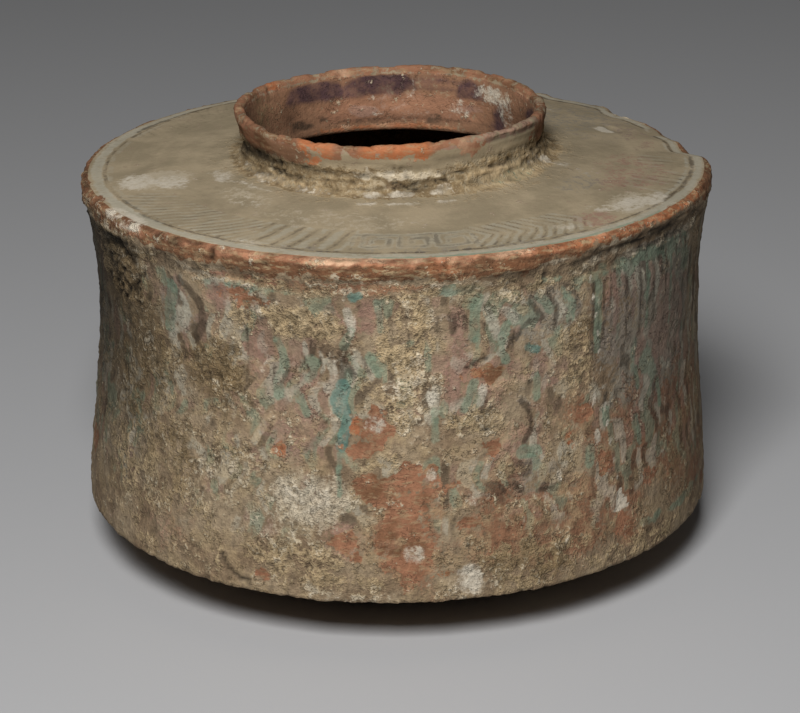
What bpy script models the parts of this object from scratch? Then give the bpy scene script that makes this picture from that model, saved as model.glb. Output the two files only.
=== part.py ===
"""Painted pottery canister: a squat drum with a flat shoulder and a short open collar.

It is one fired clay vessel, thrown on a wheel and finished by hand. Units are metres and +Z is up.
The origin is the middle of the underside, on the surface that the vessel stands on. The side that
carries the best painting faces -Y, and +X is on its right. Angles round the vessel start at +X and
turn towards +Y, so the painted front is at 270 degrees.
"""

import math

import bmesh
import bpy
from mathutils import Vector, noise

# Driving dimensions of the body
FOOT_RADIUS = 0.0540        # the flat that it stands on
HEEL_RADIUS = 0.0911        # the sharp lower edge of the wall
HEEL_HEIGHT = 0.0155
UNDERSIDE_BOW = 0.08        # how much the slope from foot to heel bows, as a share of its height
WAIST_RADIUS = 0.0871       # the narrowest ring of the wall
WAIST_HEIGHT = 0.0735
WALL_THICKNESS = 0.0055
FLOOR_THICKNESS = 0.0070
INNER_CORNER = 0.0050       # the rounding inside, between the wall and the shoulder

# Driving dimensions of the flat top
SHOULDER_RADIUS = 0.0901
SHOULDER_HEIGHT = 0.1125    # at its outer edge
SHOULDER_RISE = 0.0038      # from the outer edge to the foot of the collar
SHOULDER_THICKNESS = 0.0052
LIP_OVERHANG = 0.0030       # from the waist out to the lip
LIP_BAND_HEIGHT = 0.0065    # the worn upright face below the shoulder's edge
LIP_ROUND = 0.0018

# Driving dimensions of the collar
COLLAR_FOOT_RADIUS = 0.0470
NECK_RADIUS = 0.0430
FILLET_HEIGHT = 0.0050      # soil packed between the shoulder and the neck
RIDGE_PROUD = 0.0007        # a ridge left by the potter's finger
RIDGE_HEIGHT = 0.1249
RIM_RADIUS = 0.0449
RIM_HEIGHT = 0.1308
RIM_THICKNESS = 0.0034
RIM_ROUND = 0.0015
THROAT_RADIUS = 0.0410
THROAT_PINCH = 0.0004       # the inside of the collar is this much narrower half way up
THROAT_ROUND = 0.0015

# The broken stretch of the shoulder's edge
LIP_LOSS_DEPTH = 0.0050
LIP_LOSS_FROM = math.radians(4)
LIP_LOSS_TO = math.radians(41)
LIP_LOSS_TAIL = math.radians(57)
LIP_LOSS_TAIL_SHARE = 0.48  # the depth of its shallow tail beside the rest
LIP_LOSS_EASE = math.radians(2)
LIP_LOSS_REACH = 0.020      # how far in from the edge the flat top gives way
LIP_LOSS_RAGGED = ((0.10, 23, 0.0), (0.06, 41, 1.0))    # share of the depth, bites in a turn, start

# Other wear, crust and the hand of the potter
UNDERCUT_DEPTH = 0.0010     # a deeper hollow under the lip at the front right
UNDERCUT_ANGLE = math.radians(318)
UNDERCUT_HALF_WIDTH = math.radians(34)
LIP_FILL = 0.0010           # the wall stands fuller under the lip on the right
LIP_FILL_HALF_WIDTH = math.radians(40)
HEEL_WEAR = 0.0013          # the lower edge is rubbed away on the left
HEEL_WEAR_ANGLE = math.radians(203)
HEEL_WEAR_HALF_WIDTH = math.radians(40)
CRUST_SWELL = 0.0005        # soil and lime that stand on the wall
COARSE_LUMPS_PER_METRE = 38.0
FINE_LUMPS_PER_METRE = 90.0
OUT_OF_ROUND = 0.0004
OUT_OF_ROUND_WAVES = ((1.0, 2), (0.7, 3))               # share, waves in a turn
UNEVEN_FROM = 0.060         # inside this radius the body is true
UNEVEN_FULL = 0.080         # beyond this radius it has its full unevenness
SWAY = 0.0008               # the waist stands this far to the right of the lip
SWAY_HALF_HEIGHT = 0.040
SWAY_BACK = 0.3             # the heel stands this share of it to the left
COLLAR_LEAN = -0.0013       # the rim sits this far to the left of the neck
COLLAR_EASE = 0.002
RIM_WAVE = 0.0004           # the rim rises and falls this much round the mouth
RIM_WAVE_START = 1.3

SEGMENTS = 84
SHARP_ANGLE = math.radians(32)
WELD_DISTANCE = 0.00001
CLAY_COLOUR = (0.30, 0.235, 0.16, 1.0)
CLAY_ROUGHNESS = 0.9


def smooth_step(low, high, value):
    """Ease from 0 at low to 1 at high."""
    t = min(max((value - low) / (high - low), 0.0), 1.0)
    return t * t * (3.0 - 2.0 * t)


def bell(value, middle, half_width):
    """A soft hump that is 1 in the middle and 0 beyond its half width."""
    return 1.0 - smooth_step(0.0, half_width, abs(value - middle))


def angle_apart(first, second):
    """The smaller angle between two directions."""
    return abs((first - second + math.pi) % math.tau - math.pi)


def spread(start, end, count):
    """Evenly spaced values from start to end, both included."""
    return [start + (end - start) * i / (count - 1) for i in range(count)]


def arc(centre, radii, start, end, count):
    """Points along an ellipse in the profile's plane, both ends included, angles in degrees."""
    points = []
    for angle in spread(math.radians(start), math.radians(end), count):
        points.append((centre[0] + radii[0] * math.cos(angle), centre[1] + radii[1] * math.sin(angle)))
    return points


def wall_radius(height):
    """Outer radius of the wall: wide at the heel, narrow at the waist, wide again at the lip."""
    if height < WAIST_HEIGHT:
        turn = math.pi / 2 * (WAIST_HEIGHT - height) / (WAIST_HEIGHT - HEEL_HEIGHT)
        return WAIST_RADIUS + (HEEL_RADIUS - WAIST_RADIUS) * math.sin(turn) ** 2
    rise = (height - WAIST_HEIGHT) / (SHOULDER_HEIGHT - WAIST_HEIGHT)
    return WAIST_RADIUS + LIP_OVERHANG * rise ** 2


def shoulder_height(radius):
    """The flat top rises a little from its edge to the foot of the collar."""
    inwards = (SHOULDER_RADIUS - radius) / (SHOULDER_RADIUS - COLLAR_FOOT_RADIUS)
    return SHOULDER_HEIGHT + SHOULDER_RISE * inwards


def underside_height(radius):
    """The underside slopes up from the flat foot to the heel, a little bowed on the way."""
    outwards = (radius - FOOT_RADIUS) / (HEEL_RADIUS - FOOT_RADIUS)
    return HEEL_HEIGHT * outwards * (1.0 + UNDERSIDE_BOW * (1.0 - outwards))


def body_points():
    """The outside of the body: the sloping underside, the waisted wall and the worn lip."""
    slope = [(radius, underside_height(radius)) for radius in spread(FOOT_RADIUS, HEEL_RADIUS, 4)]
    band_foot = SHOULDER_HEIGHT - LIP_BAND_HEIGHT
    wall_heights = spread(HEEL_HEIGHT, band_foot - LIP_ROUND / 2, 12)
    wall = [(wall_radius(height), height) for height in wall_heights]
    band = [(SHOULDER_RADIUS - LIP_ROUND / 9, band_foot + LIP_ROUND / 2)]
    edge_middle = (SHOULDER_RADIUS - 0.9 * LIP_ROUND, SHOULDER_HEIGHT - LIP_ROUND)
    edge = arc(edge_middle, (LIP_ROUND, LIP_ROUND), 0, 84, 4)
    return slope[:-1] + wall + band + edge


def shoulder_points():
    """The flat top, from inside its edge to the foot of the collar."""
    radii = spread(SHOULDER_RADIUS - 2 * LIP_ROUND, COLLAR_FOOT_RADIUS + LIP_ROUND, 6)
    return [(radius, shoulder_height(radius)) for radius in radii]


def collar_points():
    """The outside of the collar: soil packed round its foot, a narrow neck, a ridge, a flared rim."""
    fillet_middle = (COLLAR_FOOT_RADIUS, shoulder_height(COLLAR_FOOT_RADIUS) + FILLET_HEIGHT)
    fillet = arc(fillet_middle, (COLLAR_FOOT_RADIUS - NECK_RADIUS, FILLET_HEIGHT), 265, 180, 4)
    ridge = (NECK_RADIUS + RIDGE_PROUD, RIDGE_HEIGHT)
    flare = (RIM_RADIUS - RIM_ROUND / 5, RIM_HEIGHT - 2 * RIM_ROUND)
    return fillet + [ridge, flare]


def rim_points():
    """The rounded rim, from outside to inside."""
    middle = (RIM_RADIUS - RIM_THICKNESS / 2, RIM_HEIGHT - RIM_ROUND)
    return arc(middle, (RIM_THICKNESS / 2, RIM_ROUND), 0, 180, 5)


def throat_points():
    """Down the inside of the collar and round its lower edge under the shoulder."""
    pinch = THROAT_RADIUS - THROAT_PINCH
    upper = (pinch, (RIM_HEIGHT + SHOULDER_HEIGHT + SHOULDER_RISE) / 2)
    lower = (pinch, SHOULDER_HEIGHT + SHOULDER_RISE)
    edge = arc((THROAT_RADIUS + THROAT_ROUND, SHOULDER_HEIGHT), (THROAT_ROUND, THROAT_ROUND), 180, 270, 3)
    return [upper, lower] + edge


def inner_points():
    """The shoulder's underside, the inner wall and the floor, each one thickness in."""
    ceiling_radii = spread(COLLAR_FOOT_RADIUS, WAIST_RADIUS - WALL_THICKNESS - INNER_CORNER, 3)
    ceiling = [(radius, shoulder_height(radius) - SHOULDER_THICKNESS) for radius in ceiling_radii]
    wall_top = SHOULDER_HEIGHT - SHOULDER_THICKNESS - INNER_CORNER
    top_radius = wall_radius(wall_top) - WALL_THICKNESS
    corner = arc((top_radius - INNER_CORNER, wall_top), (INNER_CORNER, INNER_CORNER), 60, 30, 2)
    wall_foot = HEEL_HEIGHT + FLOOR_THICKNESS + WALL_THICKNESS / 2
    wall_heights = spread(wall_top, wall_foot, 6)
    wall = [(wall_radius(height) - WALL_THICKNESS, height) for height in wall_heights]
    floor_radii = spread(HEEL_RADIUS - 1.5 * WALL_THICKNESS, FOOT_RADIUS, 5)
    floor = [(radius, underside_height(radius) + FLOOR_THICKNESS) for radius in floor_radii]
    return ceiling + corner + wall + floor


def lip_loss(angle):
    """How deep the shoulder's edge is broken away at this angle."""
    ease = LIP_LOSS_EASE
    start = smooth_step(LIP_LOSS_FROM - ease, LIP_LOSS_FROM + ease, angle)
    shallower = smooth_step(LIP_LOSS_TO - ease, LIP_LOSS_TO + ease, angle)
    step_back = 1.0 - (1.0 - LIP_LOSS_TAIL_SHARE) * shallower
    end = 1.0 - smooth_step(LIP_LOSS_TAIL - ease, LIP_LOSS_TAIL + ease, angle)
    ragged = 1.0
    for share, bites, turn in LIP_LOSS_RAGGED:
        ragged += share * math.sin(bites * angle + turn)
    return LIP_LOSS_DEPTH * start * step_back * end * ragged


def wear_edge(radius, height, angle):
    """Push the edge of the flat top in where it is broken, most at the top of the lip."""
    up_the_lip = smooth_step(SHOULDER_HEIGHT - LIP_BAND_HEIGHT - LIP_ROUND, SHOULDER_HEIGHT, height)
    near_edge = smooth_step(SHOULDER_RADIUS - LIP_LOSS_REACH, SHOULDER_RADIUS - LIP_ROUND, radius)
    return radius - lip_loss(angle) * up_the_lip * near_edge


def outer_swell(radius, height, angle):
    """How far crust and an uneven hand move the outside of the wall."""
    on_wall = smooth_step(HEEL_HEIGHT - WALL_THICKNESS, HEEL_HEIGHT + WALL_THICKNESS, height)
    below_lip = 1.0 - smooth_step(SHOULDER_HEIGHT - LIP_BAND_HEIGHT, SHOULDER_HEIGHT, height)
    place = Vector((radius * math.cos(angle), radius * math.sin(angle), height))
    lumps = noise.noise(place * COARSE_LUMPS_PER_METRE) + 0.5 * noise.noise(place * FINE_LUMPS_PER_METRE)
    under_lip = SHOULDER_HEIGHT - 1.5 * LIP_BAND_HEIGHT
    groove = bell(height, under_lip, 1.4 * LIP_BAND_HEIGHT)
    groove *= bell(angle_apart(angle, UNDERCUT_ANGLE), 0.0, UNDERCUT_HALF_WIDTH)
    fill = bell(height, under_lip, 3 * LIP_BAND_HEIGHT)
    fill *= bell(angle_apart(angle, 0.0), 0.0, LIP_FILL_HALF_WIDTH)
    return CRUST_SWELL * lumps * on_wall * below_lip - UNDERCUT_DEPTH * groove + LIP_FILL * fill


def heel_wear(radius, height, angle):
    """How far the lower edge is rubbed up and away on the left side."""
    near_heel = bell(height, HEEL_HEIGHT, 0.8 * HEEL_HEIGHT) * smooth_step(UNEVEN_FROM, HEEL_RADIUS, radius)
    return HEEL_WEAR * near_heel * bell(angle_apart(angle, HEEL_WEAR_ANGLE), 0.0, HEEL_WEAR_HALF_WIDTH)


def body_sway(height):
    """The wall stands a little to one side at the waist and to the other at the heel."""
    above = bell(height, WAIST_HEIGHT + WALL_THICKNESS, SWAY_HALF_HEIGHT)
    below = bell(height, HEEL_HEIGHT + WALL_THICKNESS, SWAY_HALF_HEIGHT / 2)
    return SWAY * (above - SWAY_BACK * below)


def hand_made(point, outside):
    """Move one point of the turned shape to where the real, uneven vessel has it."""
    radius = math.hypot(point.x, point.y)
    angle = math.atan2(point.y, point.x) % math.tau
    height = point.z
    in_body = smooth_step(UNEVEN_FROM, UNEVEN_FULL, radius)
    in_collar = 1.0 - smooth_step(COLLAR_FOOT_RADIUS - COLLAR_EASE, COLLAR_FOOT_RADIUS + COLLAR_EASE, radius)
    in_collar *= smooth_step(SHOULDER_HEIGHT, RIM_HEIGHT, height)
    moved = radius
    if outside:
        moved = wear_edge(radius, height, angle) + outer_swell(radius, height, angle) * in_body
    wobble = sum(share * math.sin(waves * angle) for share, waves in OUT_OF_ROUND_WAVES)
    moved += OUT_OF_ROUND * wobble * smooth_step(0.0, HEEL_HEIGHT, height) * radius / SHOULDER_RADIUS
    shift = body_sway(height) * in_body + COLLAR_LEAN * in_collar
    lift = heel_wear(radius, height, angle) - RIM_WAVE * math.sin(3 * angle + RIM_WAVE_START) * in_collar
    return Vector((moved * math.cos(angle) + shift, moved * math.sin(angle), height + lift))


def spin_profile(mesh, profile, outside_count):
    """Turn the profile once round the Z axis, and mark the points of its outer side."""
    outside = mesh.verts.layers.int.new("outside")
    verts = [mesh.verts.new((radius, 0.0, height)) for radius, height in profile]
    for vert in verts[:outside_count]:
        vert[outside] = 1
    edges = [mesh.edges.new(pair) for pair in zip(verts, verts[1:])]
    bmesh.ops.spin(
        mesh,
        geom=verts + edges,
        cent=(0, 0, 0),
        axis=(0, 0, 1),
        angle=math.tau,
        steps=SEGMENTS,
        use_merge=True,
    )
    bmesh.ops.remove_doubles(mesh, verts=mesh.verts, dist=WELD_DISTANCE)
    return outside


def cap_rings(mesh):
    """Close the two open rings, under the foot and inside on the floor, with one flat face each."""
    for height in (0.0, FLOOR_THICKNESS):
        ring = []
        for edge in mesh.edges:
            if edge.is_boundary and abs(edge.verts[0].co.z - height) < FLOOR_THICKNESS / 4:
                ring.append(edge)
        bmesh.ops.contextual_create(mesh, geom=ring)


def centre_on_origin(mesh):
    """Put the middle of the vessel's own box over the origin."""
    xs = [vert.co.x for vert in mesh.verts]
    ys = [vert.co.y for vert in mesh.verts]
    middle = Vector(((min(xs) + max(xs)) / 2, (min(ys) + max(ys)) / 2, 0.0))
    bmesh.ops.translate(mesh, verts=mesh.verts, vec=-middle)


def clay_material():
    """Fired clay under a dry crust of soil: dull, with no metal in it."""
    material = bpy.data.materials.new("painted_clay")
    material.use_nodes = True
    shader = material.node_tree.nodes["Principled BSDF"]
    shader.inputs["Base Color"].default_value = CLAY_COLOUR
    shader.inputs["Roughness"].default_value = CLAY_ROUGHNESS
    shader.inputs["Metallic"].default_value = 0.0
    return material


def make_canister():
    """The whole vessel as one closed shell, open at the mouth."""
    outer = body_points() + shoulder_points() + collar_points()
    inner = rim_points() + throat_points() + inner_points()
    mesh = bmesh.new()
    outside = spin_profile(mesh, outer + inner, len(outer))
    cap_rings(mesh)
    bmesh.ops.recalc_face_normals(mesh, faces=mesh.faces)
    for vert in mesh.verts:
        vert.co = hand_made(vert.co, vert[outside] == 1)
    centre_on_origin(mesh)
    data = bpy.data.meshes.new("canister")
    mesh.to_mesh(data)
    mesh.free()
    data.shade_smooth()
    data.set_sharp_from_angle(angle=SHARP_ANGLE)
    data.materials.append(clay_material())
    canister = bpy.data.objects.new("canister", data)
    bpy.context.scene.collection.objects.link(canister)


for old in list(bpy.data.objects):
    bpy.data.objects.remove(old, do_unlink=True)

make_canister()
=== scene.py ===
# %% [markdown]
# # A painted pottery canister
# This notebook dresses a wheel-thrown canister: a squat drum with a flat shoulder and a short collar.
# Its painting is worn, and soil has set on it as a hard tan crust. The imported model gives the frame:
# where the vessel stands and how large it is. Everything here is in that frame.

# %% Load the frame
import math

import bpy
import numpy as np
from mathutils import Matrix, Vector, noise


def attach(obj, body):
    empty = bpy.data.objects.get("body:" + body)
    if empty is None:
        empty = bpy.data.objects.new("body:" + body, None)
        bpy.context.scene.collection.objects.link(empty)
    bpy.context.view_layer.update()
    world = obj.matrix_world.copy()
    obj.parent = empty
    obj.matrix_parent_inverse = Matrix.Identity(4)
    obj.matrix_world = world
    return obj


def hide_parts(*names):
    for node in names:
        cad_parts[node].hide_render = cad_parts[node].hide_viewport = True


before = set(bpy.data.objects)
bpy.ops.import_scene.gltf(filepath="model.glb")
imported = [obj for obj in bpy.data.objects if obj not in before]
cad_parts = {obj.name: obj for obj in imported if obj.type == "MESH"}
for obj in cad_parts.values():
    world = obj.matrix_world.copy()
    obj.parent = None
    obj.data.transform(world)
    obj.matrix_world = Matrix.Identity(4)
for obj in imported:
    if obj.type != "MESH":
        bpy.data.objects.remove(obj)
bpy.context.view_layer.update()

MM = 0.001

# %% [markdown]
# ## The turned shape
# A potter throws such a vessel from one lump of clay, so one profile turned round an axis gives it.
# A lathe modifier could do that, but here the grid of points is worked out with numpy, because every
# later step (crust, chips, paint) needs to know the angle and the height of each point. Lengths are
# in millimetres and angles in degrees; the painted front is at 270 degrees.

# %% Driving sizes of the vessel
FOOT_RADIUS = 54.0
HEEL_RADIUS = 91.1
HEEL_HEIGHT = 15.5
UNDERSIDE_BOW = 0.08
WAIST_RADIUS = 87.1
WAIST_HEIGHT = 73.5
WALL_THICKNESS = 5.5
FLOOR_THICKNESS = 7.0
INNER_CORNER = 5.0
SHOULDER_RADIUS = 90.1
SHOULDER_HEIGHT = 112.5
SHOULDER_RISE = 3.8
SHOULDER_THICKNESS = 5.2
LIP_OVERHANG = 3.0
LIP_BAND_HEIGHT = 6.5
LIP_ROUND = 1.8
LIP_FOOT = SHOULDER_HEIGHT - LIP_BAND_HEIGHT
COLLAR_FOOT_RADIUS = 47.0
COLLAR_FOOT_HEIGHT = SHOULDER_HEIGHT + SHOULDER_RISE
NECK_RADIUS = 43.0
FILLET_HEIGHT = 5.0
RIDGE_PROUD = 0.7
RIDGE_HEIGHT = 124.9
RIM_RADIUS = 44.9
RIM_HEIGHT = 130.8
RIM_THICKNESS = 3.4
RIM_ROUND = 1.5
THROAT_RADIUS = 41.0
THROAT_PINCH = 0.4
THROAT_ROUND = 1.5


# %% Small helpers for smooth changes
def smooth_step(low, high, value):
    """Ease from 0 at low to 1 at high."""
    t = np.clip((value - low) / (high - low), 0.0, 1.0)
    return t * t * (3.0 - 2.0 * t)


def bell(value, middle, half_width):
    """A soft hump that is 1 in the middle and 0 beyond its half width."""
    return 1.0 - smooth_step(0, half_width, np.abs(value - middle))


def turn_between(first, second):
    """The signed turn in degrees from the second direction to the first, -180 to 180."""
    return (first - second + 180.0) % 360.0 - 180.0


def arc(middle, radii, start, end, count):
    """Points along an ellipse in the profile's plane."""
    angles = np.radians(np.linspace(start, end, count))
    return np.stack([middle[0] + radii[0] * np.cos(angles), middle[1] + radii[1] * np.sin(angles)], axis=1)


# %% The profile, zone by zone
def wall_radius(height):
    """The wall is wide at the heel, narrow at the waist and wide again at the lip."""
    turn = math.pi / 2 * (WAIST_HEIGHT - height) / (WAIST_HEIGHT - HEEL_HEIGHT)
    flare = (HEEL_RADIUS - WAIST_RADIUS) * np.sin(turn) ** 2
    overhang = LIP_OVERHANG * ((height - WAIST_HEIGHT) / (SHOULDER_HEIGHT - WAIST_HEIGHT)) ** 2
    return WAIST_RADIUS + np.where(height < WAIST_HEIGHT, flare, overhang)


def shoulder_height(radius):
    """The flat top rises a little from its edge to the foot of the collar."""
    inwards = (SHOULDER_RADIUS - radius) / (SHOULDER_RADIUS - COLLAR_FOOT_RADIUS)
    return SHOULDER_HEIGHT + SHOULDER_RISE * inwards


def underside_height(radius):
    """The underside slopes up from the foot to the heel."""
    outwards = (radius - FOOT_RADIUS) / (HEEL_RADIUS - FOOT_RADIUS)
    return HEEL_HEIGHT * outwards * (1.0 + UNDERSIDE_BOW * (1.0 - outwards))


def pairs(radii, heights):
    """Radii and heights side by side, as points of the profile."""
    return np.stack([radii, heights], axis=1)


def outer_zones():
    """Every zone of the outside, from the foot up to the rim."""
    slope = np.linspace(FOOT_RADIUS, HEEL_RADIUS, 7)[:-1]
    wall = np.linspace(HEEL_HEIGHT, LIP_FOOT - LIP_ROUND / 2, 90)
    band = np.linspace(LIP_FOOT, SHOULDER_HEIGHT - LIP_ROUND, 7)[1:-1]
    tucked = LIP_ROUND / 2 * (1.0 - smooth_step(LIP_FOOT, LIP_FOOT + LIP_ROUND, band))
    band_radii = SHOULDER_RADIUS - tucked + 0.1
    edge_middle = (SHOULDER_RADIUS - 0.9 * LIP_ROUND, SHOULDER_HEIGHT - LIP_ROUND)
    painted_top = np.linspace(SHOULDER_RADIUS - LIP_ROUND, 66.0, 31)
    plain_top = np.linspace(66.0, COLLAR_FOOT_RADIUS + LIP_ROUND, 9)[1:]
    top = np.concatenate([painted_top, plain_top])
    fillet_radii = (COLLAR_FOOT_RADIUS - NECK_RADIUS, FILLET_HEIGHT)
    neck = np.linspace(COLLAR_FOOT_HEIGHT + FILLET_HEIGHT, RIM_HEIGHT - RIM_ROUND, 12)[1:-1]
    bends = (NECK_RADIUS, NECK_RADIUS + RIDGE_PROUD, RIM_RADIUS)
    neck_radii = np.interp(neck, (neck[0], RIDGE_HEIGHT, RIM_HEIGHT - RIM_ROUND), bends)
    return [
        ("underside", pairs(slope, underside_height(slope))),
        ("wall", pairs(wall_radius(wall), wall)),
        ("lip", pairs(band_radii, band)),
        ("lip", arc(edge_middle, (LIP_ROUND, LIP_ROUND), 0, 84, 7)),
        ("shoulder", pairs(top, shoulder_height(top))),
        ("collar", arc((COLLAR_FOOT_RADIUS, COLLAR_FOOT_HEIGHT + FILLET_HEIGHT), fillet_radii, 265, 180, 16)),
        ("collar", pairs(neck_radii, neck)),
    ]


def inner_zones():
    """Every zone from the rim down the inside to the middle of the floor."""
    pinch = THROAT_RADIUS - THROAT_PINCH
    throat = np.linspace(RIM_HEIGHT - RIM_ROUND, SHOULDER_HEIGHT, 14)[1:-1]
    inner_bends = (THROAT_RADIUS, pinch, RIM_RADIUS - RIM_THICKNESS)
    bend_heights = (SHOULDER_HEIGHT, (COLLAR_FOOT_HEIGHT + RIM_HEIGHT) / 2, RIM_HEIGHT - RIM_ROUND)
    throat_radii = np.interp(throat, bend_heights, inner_bends)
    ceiling = np.linspace(COLLAR_FOOT_RADIUS, WAIST_RADIUS - WALL_THICKNESS - INNER_CORNER, 3)
    wall_top = SHOULDER_HEIGHT - SHOULDER_THICKNESS - INNER_CORNER
    corner_middle = (float(wall_radius(wall_top)) - WALL_THICKNESS - INNER_CORNER, wall_top)
    wall = np.linspace(wall_top, HEEL_HEIGHT + FLOOR_THICKNESS + WALL_THICKNESS / 2, 5)
    floor = np.linspace(HEEL_RADIUS - 1.5 * WALL_THICKNESS, FOOT_RADIUS, 4)
    throat_edge = (THROAT_RADIUS + THROAT_ROUND, SHOULDER_HEIGHT)
    rim_middle = (RIM_RADIUS - RIM_THICKNESS / 2, RIM_HEIGHT - RIM_ROUND)
    return [
        ("rim", arc(rim_middle, (RIM_THICKNESS / 2, RIM_ROUND), 0, 180, 9)),
        ("throat", pairs(throat_radii, throat)),
        ("throat", arc(throat_edge, (THROAT_ROUND, THROAT_ROUND), 180, 270, 3)),
        ("inside", pairs(ceiling, shoulder_height(ceiling) - SHOULDER_THICKNESS)),
        ("inside", arc(corner_middle, (INNER_CORNER, INNER_CORNER), 60, 30, 2)),
        ("inside", pairs(wall_radius(wall) - WALL_THICKNESS, wall)),
        ("inside", pairs(floor, underside_height(floor) + FLOOR_THICKNESS)),
    ]


zones = outer_zones() + inner_zones()
profile = np.concatenate([points for name, points in zones])
row_zone = np.concatenate([[name] * len(points) for name, points in zones])
ROWS = len(profile)
print("profile rows:", ROWS)

# %% [markdown]
# ## The grid of points
# The columns stand closer together on the front, where the best painting is. A gentle sine in the
# spacing does that without a visible seam. Each point then knows its zone, its angle, its radius and
# its height, and the paint steps below are written in those terms.

# %% Lay out the columns and the fields that describe each point
COLUMNS = 466
FRONT = 270.0
FRONT_CROWDING = 0.42
LIP_SHOWS_FROM = 103.0
EDGE_ROUNDS_FROM = 84.0
COLLAR_WORN_FROM = 124.0

even = np.linspace(0.0, 360.0, COLUMNS, endpoint=False)
column_angle = (even - FRONT_CROWDING * np.degrees(np.sin(np.radians(even - FRONT)))) % 360.0
ANGLE = np.tile(column_angle, (ROWS, 1))
RADIUS = np.tile(profile[:, :1], (1, COLUMNS))
HEIGHT = np.tile(profile[:, 1:], (1, COLUMNS))
ZONE = np.tile(row_zone[:, None], (1, COLUMNS))
PLACE = np.where(ZONE == "shoulder", RADIUS, HEIGHT)
MM_PER_DEGREE = RADIUS * math.pi / 180.0
TURNED = np.stack([RADIUS * np.cos(np.radians(ANGLE)), RADIUS * np.sin(np.radians(ANGLE)), HEIGHT], axis=2)
on_wall, on_top, on_collar, on_rim, on_throat = [
    ZONE == name for name in ("wall", "shoulder", "collar", "rim", "throat")
]
on_lip = (ZONE == "lip") | (on_wall & (HEIGHT > LIP_SHOWS_FROM))
on_edge = on_lip | (on_top & (RADIUS > EDGE_ROUNDS_FROM))
on_upper_collar = on_rim | (on_collar & (HEIGHT > COLLAR_WORN_FROM))
print("points:", ROWS * COLUMNS, "triangles:", 2 * (ROWS - 1) * COLUMNS)


# %% Places on the surface, and a cloudy field for lumps, wear and stains
def turn_from(angle):
    """How many degrees each point is turned away from this angle."""
    return np.abs(turn_between(ANGLE, angle))


def near(angle, reach):
    """1 at this angle, easing to 0 at the reach on both sides."""
    return bell(turn_from(angle), 0.0, reach)


def cloud(size, octaves=3, start=0.0, level=1.0, upright=1.0):
    """A soft random field, about -1 to 1, with lumps of this size in mm, drawn out level or upright."""
    scaled = TURNED / (size * np.array((level, level, upright))) + start
    values = [noise.fractal(Vector(point), 1.0, 2.0, octaves) for point in scaled.reshape(-1, 3).tolist()]
    return np.array(values).reshape(ANGLE.shape)


def lumps(per_mm):
    """One octave of the same field, as the hand of the potter left it."""
    values = [noise.noise(Vector(point)) for point in (TURNED * per_mm).reshape(-1, 3).tolist()]
    return np.array(values).reshape(ANGLE.shape)


# %% [markdown]
# ## The hand of the potter, and wear
# The vessel isn't quite round: its wall sways, its collar leans, its lower edge is rubbed away on one
# side, and a stretch of the shoulder's edge has broken off. These are the same gentle moves that the
# solid has, so the dressed piece keeps the solid's outline.

# %% Sizes of the unevenness and the wear
LIP_LOSS_DEPTH = 5.0
LIP_LOSS_FROM = 4.0
LIP_LOSS_TO = 41.0
LIP_LOSS_TAIL = 57.0
LIP_LOSS_TAIL_SHARE = 0.48
LIP_LOSS_EASE = 2.0
LIP_LOSS_REACH = 20.0
LIP_LOSS_RAGGED = ((0.10, 23, 0.0), (0.06, 41, 1.0))
UNDERCUT_DEPTH = 1.0
UNDERCUT_ANGLE = 318.0
UNDERCUT_HALF_WIDTH = 34.0
LIP_FILL = 1.0
LIP_FILL_ANGLE = 0.0
LIP_FILL_HALF_WIDTH = 40.0
HEEL_WEAR = 1.3
HEEL_WEAR_ANGLE = 203.0
HEEL_WEAR_HALF_WIDTH = 40.0
CRUST_SWELL = 0.5
COARSE_LUMPS_PER_MM = 0.038
FINE_LUMPS_PER_MM = 0.090
OUT_OF_ROUND = 0.4
OUT_OF_ROUND_WAVES = ((1.0, 2), (0.7, 3))
UNEVEN_FROM = 60.0
UNEVEN_FULL = 80.0
SWAY = 0.8
SWAY_HALF_HEIGHT = 40.0
SWAY_BACK = 0.3
COLLAR_LEAN = -1.3
COLLAR_EASE = 2.0
RIM_WAVE = 0.4
RIM_WAVE_START = 1.3


# %% Move the turned points to where the uneven vessel has them
def lip_loss(angle):
    """How deep the shoulder's edge is broken away at this angle."""
    ease = LIP_LOSS_EASE
    start = smooth_step(LIP_LOSS_FROM - ease, LIP_LOSS_FROM + ease, angle)
    shallower = smooth_step(LIP_LOSS_TO - ease, LIP_LOSS_TO + ease, angle)
    end = 1.0 - smooth_step(LIP_LOSS_TAIL - ease, LIP_LOSS_TAIL + ease, angle)
    ragged = 1.0
    for share, bites, turn in LIP_LOSS_RAGGED:
        ragged = ragged + share * np.sin(bites * np.radians(angle) + turn)
    return LIP_LOSS_DEPTH * start * (1.0 - (1.0 - LIP_LOSS_TAIL_SHARE) * shallower) * end * ragged


def wear_edge():
    """Push the edge of the flat top in where it is broken, most at the top of the lip."""
    up_the_lip = smooth_step(LIP_FOOT - LIP_ROUND, SHOULDER_HEIGHT, HEIGHT)
    near_edge = smooth_step(SHOULDER_RADIUS - LIP_LOSS_REACH, SHOULDER_RADIUS - LIP_ROUND, RADIUS)
    return -lip_loss(ANGLE) * up_the_lip * near_edge


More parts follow.
